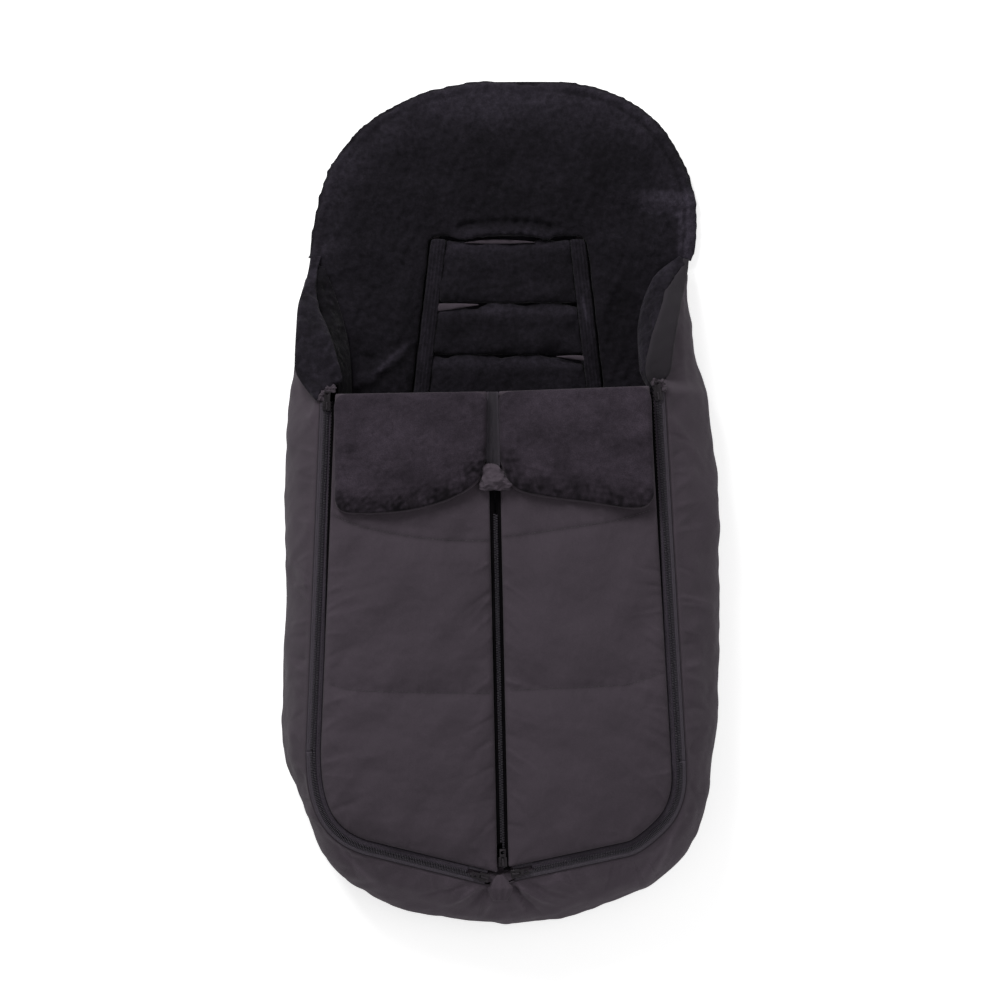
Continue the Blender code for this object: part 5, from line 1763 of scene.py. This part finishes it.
    def patch_of_cloth(self, name: str, low: PlanLine, high: PlanLine) -> None:
        """A padded lip of shell cloth that shows in a slot."""
        lower, upper = low.split(24), high.split(24)
        across = np.linspace(0, 1, 7)[:, None, None]
        spots = lower[None] + (upper - lower)[None] * across
        height = self.patch_height + 0.0012 * dome(across[..., 0], 0.6) + np.zeros((1, 25))
        height += Waver(0.0003, 0.015, 171).over(spots)
        piece = SoftPiece.from_levels(name, spots, height + CLOTH, height)
        piece.refine()
        piece.hand_over(SHELL, "base", fill=0.3)


def plan_line(places: tuple) -> PlanLine:
    """A smooth line through a few plan places."""
    return PlanLine(smooth_curve(np.array(places), 6))


# Wings


@dataclass
class WingLeaf(Maker):
    """A leaf of fleece or cloth over the sloping top of an open wing.

    Each section holds the outer place, the inner place, and the heights of both, from the tip down.
    """

    name: str
    nodes: tuple
    finish_kind: Finish
    sections: tuple
    thick: float
    tone: float
    seed: int
    # Strength of the painted highlight along the inner edge.
    rim: float = 0.50
    # Strength of the painted shade along the outer edge.
    shade: float = 0.0
    columns: int = 16
    steps: int = 7
    half_layer: float = 0.001
    piece: SoftPiece | None = field(default=None, init=False)

    def build(self) -> None:
        """Lays out the leaf and puts it on the bench."""
        rows = smooth_curve(np.array(self.sections), self.steps)
        across = np.linspace(0, 1, self.columns)[None, :]
        outer, inner = rows[:, None, 0:2], rows[:, None, 2:4]
        spots = outer + (inner - outer) * across[..., None]
        level = rows[:, 4:5] + (rows[:, 5:6] - rows[:, 4:5]) * across ** 1.3
        ends = dome(np.linspace(0.01, 0.99, len(rows)), 0.4)[:, None]
        rise = self.thick * dome(across, 0.4) * ends
        self.piece = SoftPiece.from_levels(self.name, spots, level + rise + self.half_layer,
                                           level - self.half_layer)
        BENCH.add(self.piece, Air(pressure=3.0, cap=0.0025), held_below(grid_rim(*level.shape)))

    def finish(self) -> None:
        """Wrinkles and dresses the leaf."""
        piece = self.piece
        piece.refine()
        points = piece.points
        fleecy = isinstance(self.finish_kind, FleeceFinish)
        heights = Waver(0.0009 if fleecy else 0.0004, 0.030, self.seed).heights(points)
        heights += Waver(0.0005 if fleecy else 0.0001, 0.010, self.seed + 1).heights(points)
        piece.push(heights * piece.upward())
        outer, away = (PlanLine(np.array(self.sections)[:, start:start + 2]).nearest(
            points[:, :2])[1] for start in (0, 2))
        blotches = Waver(0.16, 0.018, self.seed + 2).heights(points)
        # Random blotches on fleece, a painted highlight along the inner edge and painted shade
        # along the outer edge.
        tone = 1 + blotches * fleecy + self.rim * np.exp(-((away - 0.001) / 0.0028) ** 2)
        tone *= self.tone * (1 - self.shade * np.exp(-(outer / 0.0110) ** 2))
        piece.keep_tone(tone)
        piece.hand_over(self.finish_kind, "base", *self.nodes, fill=0.35)


LEFT_LEAF_SECTIONS = (
    (-0.2195, 0.2840, -0.2070, 0.2840, 0.0170, 0.0205),
    (-0.2220, 0.2670, -0.2110, 0.2680, 0.028, 0.027),
    (-0.2260, 0.2500, -0.2125, 0.2461, 0.046, 0.042),
    (-0.2330, 0.2266, -0.2090, 0.2225, 0.070, 0.060),
    (-0.2350, 0.1990, -0.2000, 0.2030, 0.089, 0.078),
    (-0.2363, 0.1679, -0.1920, 0.1810, 0.102, 0.088),
    (-0.2358, 0.1507, -0.1865, 0.1600, 0.106, 0.091),
    (-0.2289, 0.1370, -0.1825, 0.1420, 0.112, 0.090),
    (-0.2225, 0.1285, -0.1880, 0.1345, 0.117, 0.094),
    (-0.2160, 0.1205, -0.2060, 0.1255, 0.1180, 0.1130),
    (-0.2115, 0.1155, -0.2085, 0.1175, 0.1172, 0.1170))
LEFT_FALL_SECTIONS = (
    (-0.2160, 0.2760, -0.2040, 0.2700, 0.0230, 0.0235),
    (-0.2160, 0.2500, -0.1930, 0.2440, 0.036, 0.0240),
    (-0.2130, 0.2240, -0.1840, 0.2180, 0.052, 0.0240),
    (-0.2050, 0.2030, -0.1790, 0.1990, 0.068, 0.0240),
    (-0.1975, 0.1810, -0.1750, 0.1790, 0.078, 0.0245),
    (-0.1920, 0.1600, -0.1730, 0.1590, 0.081, 0.0245),
    (-0.1885, 0.1420, -0.1720, 0.1390, 0.080, 0.0250),
    (-0.1880, 0.1200, -0.1720, 0.1180, 0.080, 0.0250),
    (-0.1905, 0.0980, -0.1780, 0.0960, 0.077, 0.0400),
    (-0.1945, 0.0800, -0.1900, 0.0790, 0.074, 0.0640))
RIGHT_BAND_SECTIONS = (
    (0.2168, 0.2800, 0.2100, 0.2810, 0.0170, 0.0195),
    (0.2150, 0.2650, 0.2060, 0.2680, 0.032, 0.030),
    (0.2108, 0.2461, 0.1905, 0.2480, 0.056, 0.050),
    (0.2042, 0.2139, 0.1850, 0.2280, 0.090, 0.072),
    (0.1987, 0.1812, 0.1783, 0.2072, 0.103, 0.084),
    (0.1965, 0.1650, 0.1725, 0.1900, 0.106, 0.089),
    (0.1944, 0.1500, 0.1680, 0.1700, 0.106, 0.092),
    (0.1905, 0.1430, 0.1655, 0.1540, 0.105, 0.092),
    (0.1870, 0.1385, 0.1670, 0.1430, 0.102, 0.090),
    (0.1850, 0.1280, 0.1740, 0.1300, 0.098, 0.086),
    (0.1842, 0.1180, 0.1800, 0.1180, 0.096, 0.086))
RIGHT_ROLL_SECTIONS = (
    (0.2140, 0.2745, 0.2060, 0.2840, 0.0205, 0.0200),
    (0.1985, 0.2570, 0.1800, 0.2640, 0.040, 0.028),
    (0.1925, 0.2440, 0.1690, 0.2461, 0.054, 0.032),
    (0.1870, 0.2246, 0.1620, 0.2266, 0.066, 0.036),
    (0.1820, 0.2072, 0.1580, 0.2070, 0.073, 0.038),
    (0.1765, 0.1921, 0.1570, 0.1900, 0.077, 0.044),
    (0.1715, 0.1700, 0.1580, 0.1680, 0.079, 0.054),
    (0.1690, 0.1500, 0.1600, 0.1480, 0.080, 0.062),
    (0.1740, 0.1320, 0.1690, 0.1290, 0.082, 0.070))


def wing_leaves() -> list[WingLeaf]:
    """The three leaves of the two wings."""
    return [
        WingLeaf("wing_left_fleece", ("wing_facing_left", "wing_roll_left"), FLEECE,
                 LEFT_LEAF_SECTIONS, 0.0060, 1.18, 141),
        WingLeaf("wing_left_fall", (), FLEECE, LEFT_FALL_SECTIONS, 0.0030, 0.72, 143, rim=0.0,
                 shade=0.65),
        WingLeaf("wing_right_band", ("wing_facing_right",), FACING, RIGHT_BAND_SECTIONS, 0.0030,
                 0.46, 144),
        WingLeaf("wing_right_fleece", ("wing_roll_right",), FLEECE, RIGHT_ROLL_SECTIONS, 0.0070,
                 1.15, 147),
    ]


# Zips


@dataclass
class Stringer:
    """One half of a zip: woven tape, coil teeth and a row of stitches."""

    name: str
    line: PlanLine
    outward: int
    body: str
    node: str
    far: float = 0.0074
    near: float = 0.0008
    half_step: bool = False
    pitch: float = 0.0019
    thick: float = 0.0012
    bare_start: float = 0.0
    tone: float = 1.75
    # Width of the painted shadow strip next to the pad at the start of the zip.
    shadow: float = 0.0
    coil_reach: float = 1.0
    sewn: bool = True
    tuck: float = 0.0
    look: float = 0.0015
    coil_height: float = 0.0021
    cloth_kind: Finish = TAPE

    def place(self, distances: Array, across: float) -> Array:
        """Plan points at distances along the zip, moved across it."""
        spots = self.line.at(distances)
        ways = self.line.at(distances + self.look) - self.line.at(distances - self.look)
        ways /= np.maximum(np.linalg.norm(ways, axis=1, keepdims=True), TINY)
        return spots + right_of(ways) * across * self.outward

    def make(self) -> None:
        """Builds and dresses the tape, the coil and the stitches."""
        rows = max(12, int(self.line.length / 0.004))
        distances = np.linspace(0, self.line.length, rows)
        shares = np.array([0.0, 0.25, 0.42, 0.60, 0.80, 1.0])
        reach = self.near + (self.far - self.near) * shares
        profile = np.array([0.0, 0.0, 0.0, 0.00015, 0.0001, -0.0001])
        if self.tuck:
            shares = np.append(shares, 1.0)
            reach = np.append(reach, self.far + self.tuck)
            profile = np.append(profile, -0.0002)
        spots = np.stack([self.place(distances, value) for value in reach], axis=1)
        wave = Waver(0.00022, 0.030, len(self.name)).over(spots) * shares[None, :]
        tape = SoftPiece.from_levels(self.name + "_tape", spots,
                                     ZIP_HEIGHT + self.thick + profile + wave, ZIP_HEIGHT)
        tape.refine(1, simple=True)
        points = tape.points
        along, away = self.line.nearest(points[:, :2])
        tape.keep_cloth(np.column_stack([along, away]))
        # Painted shade beside the coil: darker within a few millimetres of the zip's line.
        tone = 0.55 + 0.45 * eased(away, 0.0020, 0.0042)
        # Painted shadow at the far edge: the tuck, and where shadow is set a strip next to the pad
        # that narrows along the zip, go near black.
        edge = self.far + 0.0003 - self.shadow * (1 - eased(along, 0.02, 0.32))
        tone *= 1 - 0.95 * eased(away, edge - 0.0004, edge + 0.0004)
        tape.keep_tone(self.tone * tone)
        tape.hand_over(self.cloth_kind, self.body, self.node)
        self.coil()
        if self.sewn:
            line = PlanLine(self.place(distances, self.far - 0.0016))
            StitchRow().sew(self.name + "_stitches", [line], tape, self.body)

    def coil(self) -> None:
        """The row of coil teeth."""
        work = bmesh.new()
        start = self.bare_start + (self.pitch / 2 if self.half_step else 0)
        places = np.arange(start + self.pitch, self.line.length - self.pitch, self.pitch)
        rings = ((0.0033, 0.30, 0.15, 0.75), (0.0026, 0.52, 0.0, 0.98), (0.0008, 0.56, 0.0, 1.0),
                 (-0.0004, 0.36, 0.25, 0.80))
        base = ZIP_HEIGHT + self.thick - 0.0002
        for distance in places:
            way = self.line.at(np.array([distance + 0.001, distance - 0.001]))
            way = (way[0] - way[1]) / 0.002
            made = []
            for across, wide, low, high in rings:
                middle = self.place(np.array([distance]), across * self.coil_reach)[0]
                step = way * wide * self.pitch * 0.46
                low_z, high_z = base + self.coil_height * low, base + self.coil_height * high
                between_z = (low_z + high_z) / 2
                made.append([work.verts.new(corner) for corner in (
                    (*(middle - step), between_z), (*middle, high_z),
                    (*(middle + step), between_z), (*middle, low_z))])
            close_tube(work, made)
        piece = SoftPiece.from_work(self.name + "_coil", work)
        piece.turn_outwards()
        piece.hand_over(COIL, self.body)


@dataclass
class Zips(Maker):
    """All zip halves of the footmuff."""

    cord_reach: float = 0.0079
    cord_level: float = 0.1166
    cord_radius: float = 0.0013
    cord_head: float = 0.010

    def finish(self) -> None:
        """Makes every stringer."""
        for side in Side:
            label = side.label
            path = ZIPS[side]
            outward = -side.value
            straight = PlanLine(PlanLine(path.straight).split(14))
            Stringer("side_zip_outer_" + label, straight, outward, "cover_" + label,
                     "side_zip_outer_" + label).make()
            whole = path.whole
            inner = whole.part(0, whole.length - 0.022, 90)
            Stringer("side_zip_inner_" + label, inner, -outward, "cover_" + label,
                     "side_zip_inner_" + label, half_step=True, tuck=0.0034,
                     shadow=0.0026, cloth_kind=CENTRE_TAPE, tone=1.6).make()
            corner = whole.part(PlanLine(path.straight).length, whole.length, 50)
            Stringer("foot_zip_" + label, corner, outward, "base",
                     "foot_zip_tape_" + label).make()
            self.centre(side)
            self.cuff_tape(side)
            self.tail(side)
            self.crumpled_end(side)
        self.foot_guard()
        self.foot_peak()
        self.seam_cord()

    def seam_cord(self) -> None:
        """The piped seam between the walls and the outer tapes, all round the bag."""
        halves = []
        for side in Side:
            zip_path = ZIPS[side]
            half = zip_path.aside(zip_path.whole, self.cord_reach).points
            head = half[0] + unit(wall_seam(side).points[-3] - half[0]) * self.cord_head
            halves.append(np.vstack([head, half]))
        run = PlanLine(np.vstack([halves[0], plan(((-0.004, -0.907),)), halves[1][::-1]]))
        piece = padded_tube("seam_cord", PlanLine(run.split(300)), self.cord_level,
                            self.cord_radius, self.cord_radius, 8)
        piece.keep_tone(0.62)
        piece.hand_over(SHELL, "base", fill=0.3)

    def centre(self, side: Side) -> None:
        """One half of the centre zip."""
        line = PlanLine(CENTRE_LINE)
        stop = line.length - (0 if side is Side.RIGHT else 0.029)
        run = line.part(0.005, stop, 60)
        # The tape is painted near black: painted shade of the recess between the two pads.
        Stringer("centre_zip_" + side.label, run, -side.value, "cover_" + side.label,
                 "centre_zip_" + side.label, far=0.0057, half_step=side is Side.RIGHT,
                 bare_start=0.134, tone=0.09, coil_reach=0.80, sewn=False, tuck=0.0030,
                 cloth_kind=CENTRE_TAPE).make()

    def tail(self, side: Side) -> None:
        """The bare end of the inner tape, beside the foot slider."""
        whole = ZIPS[side].whole
        run = whole.part(whole.length - 0.0235, whole.length, 24)
        across = np.linspace(0.0056, 0.0088, 5) * side.value
        spots = run.points[:, None] + right_of(run.headings())[:, None] * across[None, :, None]
        level = ZIP_HEIGHT + 0.0004 + Waver(0.0001, 0.010, 156).over(spots)
        piece = SoftPiece.from_levels("zip_tail_" + side.label, spots, level + CLOTH, level)
        piece.refine(1, simple=True)
        piece.keep_tone(1.2)
        piece.hand_over(TAPE, "cover_" + side.label)

    def crumpled_end(self, side: Side) -> None:
        """The crumpled cloth where a side zip's tape ends beside the cuff."""
        points = {
            Side.LEFT: ((-0.2055, 0.1165), (-0.2045, 0.1215), (-0.2000, 0.1262), (-0.1945, 0.1290),
                        (-0.1895, 0.1285)),
            Side.RIGHT: ((0.1870, 0.1290), (0.1850, 0.1330), (0.1810, 0.1365), (0.1760, 0.1375),
                         (0.1730, 0.1350)),
        }[side]
        centres = PlanLine(smooth_curve(np.array(points), 6)).split(26)
        piece = padded_tube("zip_end_" + side.label, PlanLine(centres), ZIP_HEIGHT + 0.0026,
                            0.0040, 0.0020, 16)
        folds = Waver(0.0008, 0.006, 157 + side.value).heights(piece.points)
        folds += Waver(0.0004, 0.003, 160 + side.value).heights(piece.points)
        piece.push(folds)
        piece.keep_tone(0.88)
        piece.hand_over(SHELL, "base", fill=0.3)

    def foot_guard(self) -> None:
        """The cloth that lies under the meeting ends of the foot zips."""
        left, right = ZIPS[Side.LEFT].whole, ZIPS[Side.RIGHT].whole
        near = left.at(np.linspace(left.length - 0.050, left.length - 0.004, 16))
        far = right.at(np.linspace(right.length - 0.004, right.length - 0.050, 16))
        middle = plan(((-0.004, -0.8925),))
        run = PlanLine(PlanLine(np.vstack([near, middle, far])).split(48))
        inward = -right_of(run.headings())
        across = np.array([-0.0046, -0.0018, 0.0010, 0.0038, 0.0060, 0.0068, 0.0110, 0.0190])
        spots = run.points[:, None] + inward[:, None] * across[None, :, None]
        level = np.array([0.1151, 0.1151, 0.1151, 0.1149, 0.1140, 0.1046, 0.1042, 0.1040])
        level = level + Waver(0.0002, 0.014, 158).over(spots)
        piece = SoftPiece.from_levels("foot_zip_guard", spots, level + CLOTH, level)
        piece.refine(1, simple=True)
        piece.hand_over(SHELL, "base", fill=0.2)

    def foot_peak(self) -> None:
        """The gathered peak of wall cloth between the foot sliders."""
        across = np.linspace(-1, 1, 21)[None, :]
        steps = np.linspace(-1, 1, 19)[:, None]
        up, sunk = np.clip(steps, 0, 1), np.clip(-steps, 0, 1)
        half = 0.0150 * (1 - 0.76 * up ** 1.1) * (1 - 0.45 * sunk)
        along = -0.4415 + 0.0152 * up - 0.0150 * sunk
        spots = np.stack([-0.0010 + across * half, along + 0 * across], axis=2)
        height = 0.1172 - 0.0060 * sunk ** 1.3
        height = height + 0.0028 * dome((across + 1) / 2, 0.7) * (1 - 0.5 * up) * (1 - 0.4 * sunk)
        height = height + 0.0006 * np.cos(across * 9.5) * (1 - up)
        floor = 0.1160 - 0.0080 * sunk + 0 * across
        piece = SoftPiece.from_levels("foot_peak_cloth", spots, height, floor)
        piece.refine()
        piece.keep_tone(1.15)
        piece.hand_over(SHELL, "base", fill=0.3)

    def cuff_tape(self, side: Side) -> None:
        """The back of the zip along a cuff's centre edge, with its folded edge cord."""
        low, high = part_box("cuff_zip_" + side.label)
        grid = Cuff(side).plan_grid(0.0112)
        top, bottom = grid[0, 0], grid[-1, 0]
        centre_edge = PlanLine(np.array([top, bottom]))
        edge = centre_edge.split(39)
        inward = right_of(unit(bottom - top)) * side.value
        reach = np.array([-0.0006, 0.0006, 0.0018, 0.0034, 0.0062, 0.0082])
        level = np.array([0.0016, 0.0021, 0.0006, 0.0001, 0.0003, -0.0002])
        spots = np.stack([edge + inward * value for value in reach], axis=1)
        wave = Waver(0.00020, 0.016, 151 + side.value).over(spots)
        piece = SoftPiece.from_levels("cuff_zip_%s_tape" % side.label, spots,
                                      high.z + level[None, :] + wave, low.z + 0.0012)
        piece.refine()
        points = piece.points
        away = centre_edge.nearest(points[:, :2])[1]
        piece.keep_cloth(np.column_stack([points[:, 1], away]))
        piece.keep_tone(0.80 + 0.50 * (1 - eased(away, 0.0010, 0.0024)))
        piece.hand_over(TAPE, "cuff_" + side.label, "cuff_zip_" + side.label)


@dataclass
class ZipGarage(Maker):
    """The crumpled cloth nub at the top of the centre zip."""

    def finish(self) -> None:
        """Crumples and dresses the nub."""
        piece = SoftPiece.from_nodes("zip_garage_cloth", "zip_garage")
        piece.remesh(0.0016)
        piece.relax(3)
        points = piece.points
        rise = np.clip((points[:, 1] - 0.015) / 0.0243, 0, 1)
        spread = (points[:, 0] + 0.0085) / 0.0125
        middle = -0.0086 - 0.0010 * rise
        half = 0.0185 + 0.0095 * rise
        points[:, 0] = middle + np.clip(spread, -1, 1) * half
        peak = np.maximum(0, 1 - 1.1 * (spread + 0.15) ** 2)
        points[:, 1] += 0.0055 * rise ** 2 * peak - 0.0022 * (1 - rise)
        piece.points = points
        spots = points[:, :2]
        middle = spots.mean(axis=0)
        away = np.linalg.norm(spots - middle, axis=1)
        upward = piece.upward()
        turn = np.arctan2(spots[:, 1] - middle[1], spots[:, 0] - middle[0])
        folds = 0.0008 * np.sin(5 * turn + 150 * away) * eased(away, 0.001, 0.006)
        folds += Waver(0.0013, 0.0075, 161).heights(points)
        folds += Waver(0.0006, 0.004, 162).heights(points)
        piece.push(folds * (0.25 + 0.75 * upward) - 0.0006)
        piece.refine()
        piece.keep_tone(1.25)
        piece.hand_over(SHELL, "cuff_left", "zip_garage", fill=0.5)


# Hardware


@dataclass
class Hardware(Maker):
    """Sliders, pulls and the grip strips under the bag."""

    bevel: float = 0.0004
    pull_share: float = 0.66

    def finish(self) -> None:
        """Rounds and dresses each piece."""
        self.metal("centre_slider")
        self.metal("centre_pull")
        for side in Side:
            for place in ("side", "foot"):
                self.metal("%s_slider_%s" % (place, side.label))
                self.metal("%s_pull_%s" % (place, side.label))
            grip = "grip_strip_" + side.label
            self.bevelled(SoftPiece.from_nodes(grip + "_rubber", grip), RUBBER, "base", grip)

    def metal(self, node: str) -> None:
        """A cast piece with softened edges."""
        piece = SoftPiece.from_nodes(node + "_metal", node)
        if node.startswith("side_pull"):
            points = piece.points
            low = points[:, 1].min()
            points[:, 1] = low + (points[:, 1] - low) * self.pull_share
            piece.points = points
        self.bevelled(piece, METAL, node, node)

    def bevelled(self, piece: SoftPiece, finish: Finish, body: str, node: str) -> None:
        """Rounds the edges of a piece and hands it over."""
        piece.step("BEVEL", width=self.bevel, segments=2, limit_method="ANGLE")
        piece.hand_over(finish, body, node)


# Stage


@dataclass(frozen=True)
class Studio:
    """White floor, soft light and a long lens straight above."""

    view_width: float = 1.150
    distance: float = 12.0
    centre: tuple[float, float] = (-0.00115, 0.0023)
    sensor: float = 36.0
    world_light: float = 0.42
    floor_glow: float = 0.60
    floor_size: float = 8.0

    def build(self) -> None:
        """Sets up the camera, the lamps, the world and the floor."""
        scene = bpy.context.scene
        lens = bpy.data.cameras.new("camera")
        lens.sensor_width = self.sensor
        lens.lens = self.sensor * self.distance / self.view_width
        lens.clip_end = 50.0
        camera = bpy.data.objects.new("camera", lens)
        scene.collection.objects.link(camera)
        camera.location = (*self.centre, self.distance + 0.05)
        scene.camera = camera
        scene.view_settings.view_transform = "Standard"
        self.lamp("key_light", (-1.2, 2.2, 2.1), 1.3, 74.0)
        self.lamp("fill_light", (1.4, -0.6, 2.8), 2.6, 16.0)
        scene.world = bpy.data.worlds.new("studio_white")
        self.set_world(NodeBoard(scene.world))
        self.add_floor()

    def lamp(self, name: str, place: tuple, size: float, power: float) -> None:
        """A square soft light aimed at the middle of the footmuff."""
        light = bpy.data.lights.new(name, "AREA")
        light.shape = "SQUARE"
        light.size = size
        light.energy = power
        item = bpy.data.objects.new(name, light)
        bpy.context.scene.collection.objects.link(item)
        item.location = place
        item.rotation_euler = Vector(place).to_track_quat("Z", "Y").to_euler()

    def set_world(self, board: NodeBoard) -> None:
        """Soft white light all round, plain white where the camera or a gloss sees it."""
        board.tree.nodes.clear()
        soft = board.node("ShaderNodeBackground", {"Strength": self.world_light})
        plain = board.node("ShaderNodeBackground", {"Strength": 1.0})
        mixed = board.node("ShaderNodeMixShader", {0: board.seen_directly(), 1: soft.outputs[0],
                                                   2: plain.outputs[0]})
        board.node("ShaderNodeOutputWorld", {0: mixed.outputs[0]})

    def add_floor(self) -> None:
        """A wide white floor that keeps the shadow of the footmuff."""
        bpy.ops.object.select_all(action="DESELECT")
        bpy.ops.mesh.primitive_plane_add(size=self.floor_size, location=(0, 0, 0))
        floor = bpy.context.active_object
        floor.name = "floor"
        floor.data.transform(floor.matrix_world)
        floor.matrix_world.identity()
        for vertex in floor.data.vertices:
            vertex.co.z = -0.0003
        board = NodeBoard(bpy.data.materials.new("floor_white"))
        nodes = board.tree.nodes
        nodes.remove(nodes["Principled BSDF"])
        diffuse = board.node("ShaderNodeBsdfDiffuse", {"Color": (0.92, 0.92, 0.92, 1)})
        glow = board.node("ShaderNodeEmission", {
            "Color": (1, 1, 1, 1),
            "Strength": board.product(board.seen_directly(), self.floor_glow)})
        both = board.node("ShaderNodeAddShader", {0: diffuse.outputs[0], 1: glow.outputs[0]})
        board.join(nodes["Material Output"], {"Surface": both.outputs[0]})
        floor.data.materials.append(board.owner)


def wall_seam(side: Side) -> PlanLine:
    """The top seam of a side wall, from the wing's tip down to the corner."""
    zip_path = ZIPS[side]
    wing = {
        Side.LEFT: ((-0.857, 0.548), (-0.901, 0.478), (-0.917, 0.408), (-0.897, 0.332),
                    (-0.845, 0.270)),
        Side.RIGHT: ((0.828, 0.550), (0.812, 0.505), (0.781, 0.443), (0.748, 0.371),
                     (0.744, 0.313)),
    }[side]
    straight = zip_path.aside(PlanLine(zip_path.straight), 0.008).points
    return PlanLine(np.vstack([smooth_curve(plan(wing), 4), straight]))


def foot_seam() -> PlanLine:
    """The top seam of the foot wall, from the left corner round to the right one."""
    runs = []
    for side in Side:
        zip_path = ZIPS[side]
        line = PlanLine(np.vstack([zip_path.corner, zip_path.foot[1]]))
        runs.append(zip_path.aside(line, 0.008).points)
    return PlanLine(np.vstack([runs[0], plan(((-0.004, -0.907),)), runs[1][::-1]]))


def main() -> None:
    """Builds the footmuff's pieces in order and sets up the studio."""
    logging.basicConfig(level=logging.INFO, format="%(message)s")
    Studio().build()
    makers = [*(CoverHalf(side) for side in Side), *(Cuff(side) for side in Side), BagWall(),
              BackAndHood(), Harness(), *wing_leaves(), Zips(), ZipGarage(), Hardware()]
    for maker in makers:
        maker.build()
    BENCH.run()
    for maker in makers:
        maker.finish()


if __name__ == "__main__":
    main()
